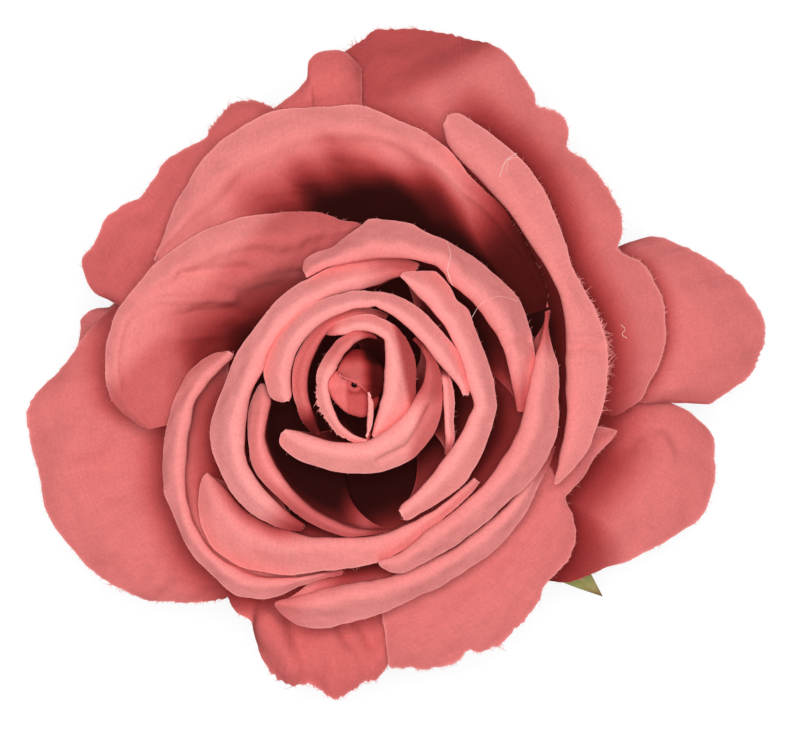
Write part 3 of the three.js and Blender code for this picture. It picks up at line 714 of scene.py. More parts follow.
def bud_form(stations, top, drop, tuck, across, rows):
    """Part of a cone: from the rim beside the pinhole the cloth falls outwards to its belly, then
    tucks in again and runs down to the post. Drop is the fall from rim to belly. The last rows
    turn down into the pinhole. The left side of the roll is lifted in a small lobe. The second
    value is painted shade: the roll is lightest on its left lobe and darker towards the right, the
    hood is darker towards the top and the right, and it is full on the rows that sink towards the
    post or into the pinhole."""
    stations = np.array(stations, float)
    v = np.linspace(0, 1, rows)[:, None]
    angle = np.linspace(stations[0, 0], stations[-1, 0], across)[None, :] + 0 * v
    rim = smooth_curve(stations[:, 0], stations[:, 1], angle)
    belly = smooth_curve(stations[:, 0], stations[:, 2], angle)
    stops = np.array([0.0, 0.25, 0.45, 0.72, 0.9, 1.0])
    foot = 0.45 * belly
    radii = np.array([foot, belly - tuck, belly, rim + 0.45 * (belly - rim), rim, 0.1 + 0.55 * (rim - 0.1)])
    lean = drop * (belly - rim) / 4
    lobe = np.exp(-(((angle - 178) / 20) ** 2)) * (tuck > 1)
    heights = np.array([
        0 * rim + top - 9.0, top - lean - 2.6 + lobe, top - lean + 1.7 * lobe,
        top - 0.38 * lean + 0.5 * lobe,
        top + 0 * rim, top - 1.6 + 0 * rim,
    ])
    radius = soften(profile_curve(stops, radii, v[:, 0]), 2)
    z = soften(profile_curve(stops, heights, v[:, 0]), 2)
    turned = np.radians(angle)
    form = np.stack([radius * np.cos(turned), radius * np.sin(turned), z], -1)
    form = form + 0.06 * slow_waves(form, 2.5, 77)[..., None]
    x, y = form[..., 0], form[..., 1]
    # Painted shade: the roll is lightest on its left lobe and darker towards the right, the hood darker
    # towards the top and the right.
    if tuck > 1:
        shade = 0.24 * ease(x, -1.5, -0.8) + 0.3 * ease(x, 0.9, 2.4)
        shade = shade + 0.3 * ease(-y, 1.6, 0.7) * ease(x, -1.2, -0.4) * ease(radius, 0.75, 1.1)
    else:
        shade = 0.14 + 0.5 * ease(y, 2.4, 4.6) + 0.75 * ease(x, 0.5, 2.8)
    # Painted shade, full on the rows that sink towards the post and into the pinhole.
    painted_hidden_shade = np.maximum(ease(-v, -0.45, -0.3), ease(v, 0.91, 0.95))
    return form, np.clip(np.maximum(shade, painted_hidden_shade), 0, 1)


for bud_name, bud_table, bud_top, bud_drop, bud_tuck in (
    ("bud_roll", BUD_ROLL, BUD_RIM - 0.5, 2.8, 1.4),
    ("bud_hood", BUD_HOOD, BUD_RIM, 3.4, 0.5),
):
    bud_grid, bud_dark = bud_form(bud_table, bud_top, bud_drop, bud_tuck, 120, 60)
    bud_piece, bud_cut, bud_area = cloth_mesh(bud_name, bud_grid, bud_dark, BUD_CLOTH)
    if bud_name == "bud_roll":
        worn_line = bud_grid[27, 14:66]
        worn_out = bud_grid[27, 14:66] - bud_grid[31, 14:66]
    else:
        worn_line = bud_grid[53, 26:]
        worn_out = bud_grid[55, 26:] - bud_grid[51, 26:]
    worn_out = worn_out / np.linalg.norm(worn_out, axis=1, keepdims=True)
    bud_fray = frayed_edge(bud_name + "_fray", worn_line, worn_out, 9.0, 0.12, THREAD_END, 201, 0.045)
    for bud_part in (bud_piece, bud_fray):
        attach(bud_part, "root")
    if bud_name == "bud_roll":
        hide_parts("bud")


# The heart is five upright petals wound tightly round the bud. Their rims roll outwards into
# narrow bands that catch the light, and the gaps between them are deep, and darker still with painted shade.
# Each ring of petals has its own copy of the coral cloth, palest here in the heart and darker ring by ring
# outwards, darkest on three guard petals; these steps are partly painted shade.
HEART_CLOTH = petal_cloth("heart_petal_cloth", (0.96, 0.34, 0.32, 1.0), (0.78, 0.18, 0.17, 1.0), 0.85)
HEART_PETALS = [
    {
        "name": "bud_wrap", "seed": 11, "rise": 12.4, "sag": 0.9, "belly": 1.0,
        "wobble": 0.1, "ruffle": 0.05, "fray": 1.5, "curl": 0.3, "spread": 0.05,
        "rim": [
            (283, 7.35, 7.6), (286, 6.5, 7.2), (290, 5.4, 6.7), (295, 4.5, 5.9), (300, 3.9, 5.2),
            (306, 3.3, 4.5), (315.7, 2.65, 3.7), (323.5, 2.3, 3.0), (331, 2.05, 2.45), (338, 2.0, 2.3),
        ],
    },
    {
        "name": "heart_petal_left", "seed": 12, "rise": 13.2, "sag": 1.5,
        "wobble": 0.15, "ruffle": 0.06, "fray": 3.0,
        "fray_spots": [(178, 262, 9.0, 0.2)], "worn": [(178, 262, 0.2)], "tuck": (1.5, 0.0),
        "ends": [(96, 70, 0.6), (160, 115, 0.22)],
        "rim": [
            (66, 7.2, 7.5), (73, 7.1, 7.55), (80, 6.8, 7.6), (90, 6.1, 7.4), (100, 5.2, 6.9),
            (110, 4.7, 6.6), (120, 4.1, 6.1),
            (130, 3.8, 5.8), (140, 3.5, 5.6), (150, 3.5, 5.4), (165, 3.7, 5.3), (180, 3.8, 5.2),
            (200, 3.8, 5.5), (215, 4.1, 5.7), (225, 4.4, 5.9), (235, 4.8, 6.3), (250, 5.8, 7.2),
            (260, 6.4, 7.5), (270, 7.1, 7.9), (282, 7.8, 8.1),
        ],
    },
    {
        "name": "heart_petal_right", "seed": 13, "dark": (0.0, 13.0), "rise": 14.4, "sag": 2.5,
        "wobble": 0.15, "ruffle": 0.08, "fray": 1.5,
        "shaded_side": [((402, 8.2), (350, 7.6), 0.45, 0.5, 0.0)], "ends": [(462, 476, 0.3)],
        "rim": [
            (290, 7.4, 7.95), (300, 6, 7.9), (310, 5.2, 7.7), (330, 4.35, 8.2), (350, 4.2, 8.5),
            (360, 4.2, 8.4), (370, 4.35, 8.6), (380, 4.6, 8.9), (390, 5.1, 9.2), (400, 5.8, 9.5),
            (410, 6.8, 9.8), (418, 7.75, 10), (435, 7.9, 10), (450, 7.8, 9.6), (460, 7.4, 9.2),
            (470, 7.6, 8.8), (478, 8.0, 8.2),
        ],
    },
    {
        "name": "heart_petal_back", "seed": 14, "rise": 12.8, "sag": 2.0, "belly": 0.2, "dark": (-4.5, 7.5),
        "tuck": (2.0, 3.0), "ends": [(180, 228, 0.75), (90, 66, 0.5)],
        "lean": 0.12, "wobble": 0.15, "ruffle": 0.08, "fray": 2.0,
        "rim": [
            (65, 10.3, 10.9), (80, 9.95, 10.9), (100, 9.3, 10.1), (120, 8.3, 9.7), (140, 7.3, 9.2),
            (160, 6.9, 8.9), (180, 6.8, 8.6), (200, 6.9, 8.5), (215, 7.3, 8.8), (234, 8.4, 8.9),
        ],
    },
    {
        "name": "heart_petal_front", "seed": 15, "dark": (0.0, 14.0), "tuck": (0.0, 3.5),
        "ends": [(372, 394, 0.6), (332, 358, 0.38)],
        "shaded_side": [((374, 10.9), (318, 11.2), 0.25, 0.7, 0.0)],
        "creases": [((286, 11.2), (311, 11.5), 0.4, 0.4), ((311, 11.5), (346, 11.2), 0.4, 0.4)],
        "rise": 15.8, "sag": 1.6,
        "wobble": 0.15, "ruffle": 0.08, "fray": 2.0,
        "rim": [
            (213, 11.6, 12.2), (216, 10.9, 13), (219, 10.4, 13.4), (225, 9.8, 13.3), (232, 9.3, 13.1),
            (240, 8.9, 12.7), (250, 8.6, 12.35), (260, 8.3, 12.2), (270, 8.2, 12.2), (280, 8.2, 12.4),
            (290, 8, 12.7), (300, 7.8, 12.9), (310, 7.8, 13.1), (320, 8, 12.9), (335, 8.5, 12.8),
            (350, 8.9, 12.4), (360, 9.6, 12.1), (370, 10.2, 12), (380, 10.7, 11.7),
            (388, 10.8, 11.5), (398, 10.5, 11.1),
        ],
    },
]
for petal in HEART_PETALS:
    make_petal(petal, HEART_CLOTH, 130, 46)


# The inner petals stand upright round the heart in two turns, with broader rolled rims.
INNER_CLOTH = petal_cloth("inner_petal_cloth", (0.93, 0.325, 0.31, 1.0), (0.75, 0.165, 0.155, 1.0), 0.75)
INNER_PETALS = [
    {
        "name": "inner_petal_right_small", "seed": 21, "tuck": (0.5, 2.5),
        "ends": [(362, 372, 0.5), (334, 324, 0.3)], "rise": 14.6, "sag": 2.5, "belly": 0.2,
        "ruffle": 0.06,
        "rim": [
            (323, 16.0, 16.4), (330, 15, 16), (335, 14.2, 15.3), (340, 13.6, 14.7), (350, 12.8, 14.2),
            (360, 12.5, 13.6), (368, 12.3, 13.1), (372, 12.2, 12.6),
        ],
    },
    {
        "name": "inner_petal_back", "seed": 22, "rise": 18.0, "sag": 1.4,
        "rim": [
            (-5, 15.4, 16), (0, 14.7, 16), (5, 13.8, 15.8), (12, 12.8, 15.4), (20, 12, 15),
            (30, 11.5, 14.2),
            (40, 11.2, 14.1), (50, 11.2, 14), (60, 11.3, 13.9), (72, 11.4, 13.6), (75, 11.6, 13.5),
            (80, 11.2, 13.2), (90, 10.9, 13.15), (100, 10.5, 12.8), (110, 10.3, 12.7), (130, 9.8, 12.9),
            (150, 9.4, 13), (160, 9.2, 12.95), (170, 9.1, 12.8), (180, 9, 12.3), (187, 9.05, 11.9),
            (190, 9.2, 11.4), (193, 9.6, 10.3),
        ],
    },
    {
        "name": "inner_petal_left_small", "seed": 23, "dark": (-1.5, 6.3), "tuck": (0.0, 2.0),
        "ends": [(262, 283, 0.6), (222, 248, 0.35)], "rise": 14.8, "sag": 3.0, "belly": 0.2,
        "lean": 0.1, "ruffle": 0.12,
        "rim": [
            (180, 12.9, 13.3), (185, 12.4, 14), (190, 12.2, 14.8), (200, 13.2, 16), (205, 13.9, 16.6),
            (210, 14.7, 17.2), (222, 15.9, 18.6), (233, 16.9, 18.9), (250, 18.5, 20.1),
            (260, 19.5, 20.9), (270, 20.5, 21.3), (283, 21, 21.3),
        ],
    },
    {
        "name": "inner_petal_right", "seed": 24, "dark": (0.0, 13.0), "rise": 18.6, "sag": 1.8,
        "ruffle": 0.12,
        "rim": [
            (290, 19, 20.1), (292, 18.4, 20.3), (296, 18, 20.2), (303, 17.4, 20.3), (310, 16.9, 20.4),
            (318, 16.5, 20.6), (327, 16.4, 20.4), (335, 16.6, 20.2), (344, 16.9, 20), (350, 17.4, 20),
            (355, 16.9, 19.8),
            (360, 16.2, 19.5), (365, 15.9, 19.2), (375, 15.5, 18.7), (385, 15.3, 18.6), (393, 15.2, 19.1),
            (400, 15.1, 18.6), (407, 15.3, 19.2), (414, 15.5, 19.6), (418, 15.8, 18.8), (423, 16.3, 17.8),
            (427, 16.7, 17.1),
        ],
    },
    {
        "name": "inner_petal_left", "seed": 25, "tilt": 1.0, "tuck": (1.0, 2.5),
        "ends": [(90, 64, 0.35), (232, 250, 0.6)], "rise": 19.0, "sag": 1.6,
        "ruffle": 0.14,
        "rim": [
            (62, 17.8, 19.3), (70, 16.2, 19.1), (80, 14.3, 18.2), (90, 13.5, 17.4), (100, 13.2, 16.9),
            (115, 12.9, 16.2), (130, 12.9, 16), (140, 12.9, 15.9), (150, 12.9, 16.1), (160, 13.1, 16.8),
            (170, 13.3, 17.5), (180, 14.2, 18.4), (190, 15.3, 20), (200, 16.7, 21.7), (206, 17.4, 22.2),
            (215, 18.6, 22.4), (222, 19.2, 22.9), (230, 19.8, 23.1), (237, 20.2, 22.9), (245, 20.6, 22.5),
            (250, 20.9, 22),
        ],
    },
]
for petal in INNER_PETALS:
    make_petal(petal, INNER_CLOTH, 130, 50)


# The middle petals close the cup. Their rims roll out further and dip between their high points.
MIDDLE_CLOTH = petal_cloth("middle_petal_cloth", (0.87, 0.277, 0.265, 1.0), (0.69, 0.135, 0.127, 1.0))
MIDDLE_PETALS = [
    {
        "name": "middle_petal_upper_right", "seed": 31, "ends": [(8, -8, 0.35)], "rise": 19.6,
        "creases": [((14, 22), (14.5, 25.8), 0.3, 0.5), ((9, 22.2), (10, 25.5), -0.3, 0.6)],
        "sag": 2.2,
        "wobble": 0.3, "ruffle": 0.14,
        "rim": [
            (-9, 23.4, 24.1), (-5, 22.9, 24.4), (0, 22.3, 24.9), (5, 22, 25.3), (10, 21.8, 25.7),
            (20, 21.5, 26), (25, 20.9, 26.1), (30, 20.7, 25.8), (35, 20.5, 25.3), (40, 20.2, 24.9),
            (47, 19.9, 24.6), (51, 20.4, 24.4), (55, 20.6, 24.1), (60, 20.1, 23.8), (65, 19.6, 23.7),
            (70, 19.2, 24), (75, 18.7, 23.9), (80, 18.3, 23.7), (85, 17.9, 23.4), (88, 17.7, 22.2),
            (93, 17.5, 21), (100, 17.2, 19.6), (108, 16.8, 19.3), (111.5, 16.7, 18.9),
            (114, 16.7, 17.7),
        ],
    },
    {
        "name": "middle_petal_front", "seed": 32, "soft": 12, "curl": 0.5,
        "under": [("inner_petal_left", 0.5, 3.2)], "rise": 17.6, "sag": 1.8,
        "wobble": 0.25, "ruffle": 0.16,
        "rim": [
            (211, 24.4, 24.9), (213.6, 24, 26.2), (218, 23.7, 28), (225, 23.6, 29.8), (230, 23.6, 30.4),
            (237, 23.3, 30.4), (245, 22.9, 29.3), (250, 22.6, 28.6), (255, 22.2, 27.5),
            (260, 21.9, 26.5), (270, 21.6, 25.6),
            (277, 21.5, 25.1), (285, 21.4, 24.3), (292, 21.2, 23.5), (300, 21, 22.7), (310, 21, 22.4),
            (322, 21.5, 22.3),
        ],
    },
    {
        "name": "middle_petal_lower_right", "seed": 33, "dark": (-0.5, 15.0),
        "ends": [(366, 380, 0.45)], "rise": 20.4, "sag": 1.8,
        "wobble": 0.25, "ruffle": 0.16,
        "rim": [
            (278, 25.3, 25.7), (285, 24.8, 27.2), (290, 24.1, 26.9), (300, 23, 26.6), (310, 22.9, 26.5),
            (320, 23.1, 27), (330, 23.4, 28), (340, 24, 29), (347, 24.3, 29.3), (355, 24.5, 28.9),
            (360, 24.9, 28.7), (365, 25.6, 28.6), (370, 26.4, 28.3), (375, 27.6, 28.3), (381, 29, 29.5),
        ],
    },
    {
        "name": "middle_petal_left", "seed": 34, "dark": (-0.5, 16.0), "tuck": (0.0, 1.5),
        "ends": [(256, 266, 0.35)], "rise": 17.8, "sag": 2.2,
        "lean": 0.05, "wobble": 0.3, "ruffle": 0.2,
        "rim": [
            (165.5, 18, 18.7), (167, 18, 20.2), (170, 18.5, 21.5), (175, 20, 23.2), (180, 21.4, 24.6),
            (190, 23.6, 26.6),
            (200, 25.6, 28.7), (210, 28, 30.7), (215, 29.2, 31.3), (220, 30.3, 32.2), (228, 31.1, 33.4),
            (235, 31.2, 33.8), (240, 31, 34.1), (245, 30.2, 33.1), (250, 29.2, 31.7), (255, 28.2, 29.5),
            (260, 27.2, 27.8), (266, 26.4, 26.8),
        ],
    },
    {
        "name": "middle_petal_bottom", "seed": 35, "tuck": (0.5, 1.5),
        "ends": [(262, 250, 0.2), (330, 343, 0.4)], "rise": 17.0, "sag": 2.2,
        "wobble": 0.3, "ruffle": 0.2,
        "rim": [
            (250, 32.9, 33.3), (253, 31.8, 34.2), (258, 30.2, 34.9), (262, 29.1, 34.8), (267, 28.5, 33.9),
            (275, 28, 32.8), (280, 27.8, 32), (290, 27.5, 31), (300, 27.2, 30.6), (310, 27.2, 30.5),
            (320, 27.6, 30.4), (328, 28, 29.9), (335, 28.4, 29.6), (343, 29.1, 29.7),
        ],
    },
]
for petal in MIDDLE_PETALS:
    make_petal(petal, MIDDLE_CLOTH, 130, 50)


# Three broad petals lean back from the cup, so that their wrinkled inner faces show.
BROAD_CLOTH = petal_cloth("broad_petal_cloth", (0.8, 0.243, 0.232, 1.0), (0.65, 0.124, 0.115, 1.0))
BROAD_PETALS = [
    {
        "name": "broad_petal_left", "seed": 41, "rise": 18.4, "sag": 3.2, "belly": 0.2,
        "lean": 0.75, "ruffle": 0.3, "ruffle_size": 9.0, "ragged": 0.05, "soft": 40,
        "curl": 0.35, "inner_drop": 0.3, "dark": (0.0, 22.0), "dark_waves": 1.1,
        "shaded_side": [((125.9, 25.6), (163.8, 28.2), 0.26, 2.0, 0.0)], "spread": 0.1,
        "creases": [
            ((148.1, 29.8), (131.9, 22.5), 0.55, 0.8), ((157.5, 31.7), (143.7, 21.2), -0.6, 0.7),
            ((160.5, 28.8), (146.9, 19.6), 0.6, 0.8), ((165, 27), (158, 20), -0.5, 0.8),
        ],
        "rim": [
            (88, 22.5, 23.1), (95, 21.3, 23.6), (100, 20.8, 24.7), (110, 21, 26.3), (120, 22.3, 28),
            (130, 24.2, 29.8), (140, 26.8, 31.7), (150, 29.4, 33.5), (155, 30.8, 34.2), (160, 32, 35.1),
            (166, 33.1, 35.7), (172, 33.4, 35.8), (178, 33, 35.4), (183, 32.2, 34.8), (188, 30.6, 32.6),
            (192, 29.4, 30.2),
        ],
    },
    {
        "name": "broad_petal_top", "seed": 42, "rise": 17.2, "sag": 1.6, "belly": 0.2,
        "lean": 0.6, "ruffle": 0.3, "ruffle_size": 9.0, "ragged": 0.05, "soft": 40,
        "curl": 0.35, "inner_drop": 0.4, "dark": (-1.5, 7.8), "dark_waves": 1.0,
        "dark_turn": 0.95, "tuck": (3.0, 0.0), "ends": [(67, 40, 0.9)], "spread": 0.1,
        "creases": [
            ((112, 33), (104, 28), 0.6, 0.9), ((98, 33.5), (92, 30), -0.6, 1.0),
            ((86, 33), (80, 29), 0.6, 1.0),
            ((104, 32.5), (82, 31.2), -0.45, 0.8), ((118, 31), (100, 28.5), 0.5, 0.8),
        ],
        "rim": [
            (22, 29.4, 29.9), (30, 29.5, 30.9), (38, 29.8, 31.4), (45, 30.1, 32), (50, 30.2, 33),
            (55, 30.4, 33.3), (62, 30.9, 34.2), (66, 31.5, 35.5),
            (72, 32.6, 36.8), (80, 33.8, 38.2), (85, 34.2, 39.2), (90, 34.5, 39.9), (100, 34.3, 40.1),
            (108, 33.8, 40.7), (115, 33.2, 40.2), (120, 32.8, 39.6), (123, 32.5, 39), (130, 32.2, 37.3),
            (137, 32.6, 36), (142, 33.1, 34.6), (148, 33.4, 33.9),
        ],
    },
    {
        "name": "broad_petal_right", "seed": 43, "rise": 21.4, "sag": 2.4, "belly": 0.6,
        "throat": 17.0, "wobble": 0.25, "ruffle": 0.12, "ragged": 0.06, "fray": 5.0,
        "fray_spots": [(-6, 26, 9.0, 0.22), (2, 16, 12.0, 0.42)], "spread": 0.15,
        "curl": 0.28, "soft": 12, "worn": [(0, 22, 0.12)],
        "creases": [
            ((12.5, 31.2), (10.5, 35.5), -0.35, 0.5), ((10, 31), (9, 35.5), 0.35, 0.5),
            ((7, 30.5), (6.5, 35), -0.25, 0.6),
        ],
        "rim": [
            (334, 31.5, 32.1), (337, 31.2, 32.8), (340, 31, 33.4), (345, 30.7, 34.3),
            (350, 30.4, 34.9), (355, 30.2, 35.4),
            (360, 30, 35.8), (365, 30, 36), (370, 30.4, 36.1), (377, 31.2, 35.8), (385, 31.9, 35.2),
            (388, 31.9, 35.1), (393, 31.9, 35.8), (400, 32.1, 37.2), (407, 32.7, 38.8), (415, 33.6, 40),
            (420, 34.4, 40.4), (425, 35.4, 41), (429, 37, 41.4), (431, 39, 40.5),
        ],
    },
]
for petal in BROAD_PETALS:
    make_petal(petal, BROAD_CLOTH, 144, 54)


# The guard petals are the widest and lie lowest. They spread out under the cup, with pressed
# creases, pinched gathers and notches, and their edges curl down.
GUARD_CLOTH = petal_cloth("guard_petal_cloth", (0.71, 0.18, 0.174, 1.0), (0.585, 0.106, 0.102, 1.0))
# A darker copy of the guard cloth for three guard petals, partly painted shade.
DARKER_GUARD_CLOTH = petal_cloth("darker_guard_petal_cloth", (0.665, 0.14, 0.136, 1.0), (0.55, 0.084, 0.08, 1.0))
DARKER_GUARDS = ("guard_petal_top", "guard_petal_top_left", "guard_petal_bottom_left")
GUARD_FORM = {
    "belly": 0.0, "lean": 0.5, "wobble": 0.5, "ruffle": 0.3, "ruffle_size": 9.0, "ragged": 0.08,
    "soft": 60, "curl": 0.3, "inner_drop": 0.12, "ridge": 0.4, "dark": (2.0, 26.0),
    "fray": 6.0, "fray_reach": 0.14, "spread": 0.35,
}
GUARD_PETALS = [
    {
        **GUARD_FORM, "name": "guard_petal_bottom_right", "spread": 0.1, "seed": 51,
        "fray_spots": [(277, 300, 9.0, 0.2)],
        "worn": [(277, 332, 0.1)], "rise": 14.0, "sag": 1.6,
        "throat": 14.0,
        "rim": [
            (277, 33.5, 40.6), (280, 33.5, 41.3), (285, 33.5, 42), (290, 33.5, 42.2), (293, 33.5, 41.3),
            (295, 33.5, 42), (298, 33.5, 42.6), (305, 33.2, 41.8), (310, 32.8, 40.6), (314.6, 32.4, 39.3),
            (320, 32, 39.6), (323, 32, 39.1), (326, 32, 38.3), (329, 32, 36.4), (332, 32.2, 34),
            (337, 32.4, 34.8), (341, 33.3, 35.5), (345, 35, 36.2), (350, 37.6, 38.2),
        ],
    },
    {
        **GUARD_FORM, "name": "guard_petal_top", "seed": 52, "rise": 16.4, "sag": 2.0,
        "throat": 14.0,
        "rim": [
            (89, 41.5, 45), (93, 42, 47.6), (96, 42, 47.7), (98, 41.5, 46.6), (98.8, 41, 44.2),
            (100, 40.3, 43.3), (103, 39.5, 42), (107, 39, 40.5),
        ],
    },
    {
        **GUARD_FORM, "name": "guard_petal_top_right", "seed": 53,
        "under": [("broad_petal_right", 0.56, 6.5), ("broad_petal_top", 0.3, 5.0)],
        "fray_spots": [(12, 60, 7.0, 0.16), (80, 93, 8.0, 0.2)], "worn": [(14, 60, 0.09), (66, 92, 0.12)],
        "shaded_side": [((84.4, 39.5), (72.4, 47.2), 0.3, 2.4, 0.35)], "rise": 15.4, "sag": 2.4,
        "throat": 13.6,
        "rim": [
            (-6.6, 33, 37.4), (-2.6, 34, 40.8), (0, 35, 41.9), (4, 35, 43.4), (8, 36, 44.6), (12, 36, 45.2),
            (15.5, 36, 45.5), (20, 36, 45.2), (23.3, 36, 44.3), (25.5, 36, 42.9), (27.6, 36, 42.1),
            (29.5, 36, 43.5), (33, 36, 45), (38, 36, 45.6), (44, 36.5, 46), (48, 37, 45.3),
            (50, 37.5, 47.5),
            (53, 38, 48.4), (57, 38, 47.7), (59, 38.5, 49.1), (62, 39, 50.2), (65, 39, 51.5),
            (68, 39.5, 52.2),
            (74, 40, 52.6), (80, 40, 52.3), (84, 40, 51.7), (87, 40, 51.3), (89, 40, 50.1), (93, 39.6, 48),
        ],
    },
    {
        **GUARD_FORM, "name": "guard_petal_top_left", "seed": 54, "dark": (7.0, 30.0),
        "fray_spots": [(105, 120, 8.0, 0.18)], "worn": [(105, 122, 0.12)], "rise": 14.4, "sag": 2.0,
        "throat": 13.2,
        "rim": [
            (105, 33.5, 40.3), (110, 34, 43), (113, 34, 43.7), (117, 34, 42.8), (123, 34, 41.2),
            (130, 34, 41.8), (135, 34, 41), (139, 34, 40.7), (143, 34.3, 42), (147, 34.5, 42.7),
            (151, 34.5, 42.3), (155, 34.5, 43), (158, 34, 41.5), (160, 33.5, 39.5), (161.3, 33, 36.7),
        ],
    },
    {
        **GUARD_FORM, "name": "guard_petal_left", "seed": 55,
        "under": [("middle_petal_left", 0.4, 6.5), ("broad_petal_left", 0.3, 5.0)],
        "fray_spots": [(218, 240, 9.0, 0.2)], "worn": [(216, 240, 0.12), (182, 190, 0.12)],
        "creases": [
            ((196, 43), (201.1, 32), 0.55, 1.8), ((214, 44.5), (209.3, 32), -0.7, 2.2),
            ((226, 42), (220, 33), -0.6, 1.8),
            ((205, 46), (204.5, 36), 0.4, 1.6),
        ],
        "rise": 14.0, "sag": 2.4,
        "throat": 12.8,
        "rim": [
            (162, 31, 35.9), (165.7, 32.5, 37.6), (168, 33, 38.4), (173, 34, 40.3), (177.5, 35, 42.2),
            (180, 35.5, 44), (182.3, 36, 45.8), (185, 36.5, 47.1), (190, 37, 47.2), (195, 37.5, 47),
            (203, 38, 47.6), (210, 37.5, 46.8), (217, 36.5, 45.5), (222, 35.5, 44), (226, 34.5, 42.3),
            (230, 33.5, 40.2), (235, 32, 37.8), (239, 31, 35.6),
        ],
    },
    {
        **GUARD_FORM, "name": "guard_petal_bottom_left", "seed": 56,
        "under": [("middle_petal_left", 0.4, 4.0), ("middle_petal_bottom", 0.14, 3.0)],
        "fray_spots": [(252, 278, 9.0, 0.24)], "worn": [(252, 276, 0.2)], "spread": 0.15, "rise": 14.2,
        "sag": 1.6,
        "throat": 12.4,
        "rim": [
            (236, 31.5, 34.2), (239.6, 32, 35.6), (243, 32.5, 36.8), (246, 33, 37.1), (249, 34, 39.5),
            (252, 35, 42),
            (256, 35.5, 43.8), (258, 36, 44), (261, 36, 43.4), (264, 36, 44), (266, 36, 44.9),
            (269, 36, 43.8), (272, 35.5, 42.5), (274, 35, 42.3), (277, 34, 40.3), (284, 32, 37),
        ],
        "creases": [
            ((243, 32), (249, 41), 0.7, 1.0), ((246.9, 35), (259, 42.5), -1.3, 2.0),
            ((253, 34), (262, 44), 0.6, 1.2),
            ((262, 33), (266, 43), -0.5, 1.6), ((270, 32.5), (275, 38.5), 0.7, 1.2),
            ((265.5, 33.5), (269, 37.5), 0.5, 1.1),
        ],
    },
    {
        **GUARD_FORM, "name": "guard_petal_right", "seed": 57, "spread": 0.75, "worn": [(0, 24, 0.08)],
        "under": [("guard_petal_top_right", 0.3, 3.0)], "rise": 13.6, "sag": 2.0,
        "throat": 12.0,
        "rim": [
            (-3.4, 36, 45.6), (-2.9, 37, 50.4), (-2.1, 38, 51.5), (-0.5, 39, 53.6), (1, 40, 55.7),
            (3.6, 41, 57.7), (6.3, 42, 58.8), (8.3, 42, 59.1), (10.2, 42, 58.8), (13.7, 41, 57.3),
            (16.4, 40.5, 55.8), (19.6, 39.5, 53.4), (23.2, 38, 50.5), (26.6, 36.5, 47.1), (27.4, 36, 43.5),
        ],
    },
    {
        **GUARD_FORM, "name": "guard_petal_right_lower", "seed": 58,
        "under": [("guard_petal_bottom_right", 0.6, 10.0), ("broad_petal_right", 0.55, 10.0)],
        "rise": 12.0, "sag": 2.6,
        "throat": 11.6,
        "rim": [
            (311, 30, 36.2), (314.3, 31, 39.3), (318.4, 32.5, 42), (322.8, 34, 43.9), (325.8, 35, 45.8),
            (329.2, 36, 47.4), (332.5, 37, 49.1), (335.5, 38, 51), (337.8, 38.5, 52.5), (340.1, 39, 53.2),
            (344.1, 39, 53.3), (348.3, 39, 52.7), (351.3, 38.5, 52.2), (353.2, 38, 50.6),
            (354.6, 37.5, 48.8),
            (356, 37, 46), (357.4, 36.5, 43.6),
        ],
        "creases": [
            ((349, 41.5), (345.5, 43), -0.5, 0.8), ((351, 44), (348, 46.5), -0.5, 0.8),
            ((348, 46.5), (345, 46.5), -0.5, 0.8), ((352, 42), (346, 40), 0.4, 1.2),
        ],
    },
    {
        **GUARD_FORM, "name": "guard_petal_left_under", "seed": 59, "dark": (8.0, 30.0), "rise": 8.6,
        "sag": 0.6,
        "throat": 11.2,
        "rim": [
            (158, 30, 33), (160.7, 31, 35.9), (163.1, 32, 37.2), (163.9, 32.5, 38.7), (165.3, 33, 39.9),
            (166.7, 33, 40.4), (168.7, 33, 40.1), (172, 33, 40), (176, 32, 38.5), (179, 31, 36),
        ],
    },
]
for petal in GUARD_PETALS:
    make_petal(petal, DARKER_GUARD_CLOTH if petal["name"] in DARKER_GUARDS else GUARD_CLOTH, 144, 50)


# A few loose threads and bits of lint lie on the bloom, shed by the cut edges.
# Each is one thin cotton thread, given by the places it passes over.
LOOSE_THREADS = [
    (
        "thread_upper_right", "middle_petal_upper_right",
        [(13.1, 20.4), (13.6, 18.4), (13.2, 16.3), (13.9, 14.1)], 0.055,
    ),
    (
        "thread_arc", "middle_petal_upper_right",
        [(16.5, 9.4), (18.0, 11.6), (20.6, 12.6), (23.2, 11.9)], 0.03,
    ),
    ("lint_broad_petal", "broad_petal_right", [(23.0, 33.0), (21.4, 31.8), (20.6, 29.6)], 0.06),
    ("lint_broad_petal_fork", "broad_petal_right", [(23.2, 32.4), (21.9, 32.1), (21.5, 30.4)], 0.045),
    (
        "curl_guard_petal", "guard_petal_top_right",
        [(38.0, 8.6), (38.6, 8.0), (38.2, 7.2), (38.9, 6.7)], 0.045,
    ),
]


def height_on(name, place):
    """Height of a petal's upper side under each place, taken from the nearest point of its grid."""
    grid = FORMS[name]
    grid = grid[len(grid) // 2:].reshape(-1, 3)
    away = np.linalg.norm(grid[None, :, :2] - place[:, None], axis=-1)
    return grid[away.argmin(1), 2] + CLOTH_UPPER_CLEARANCE


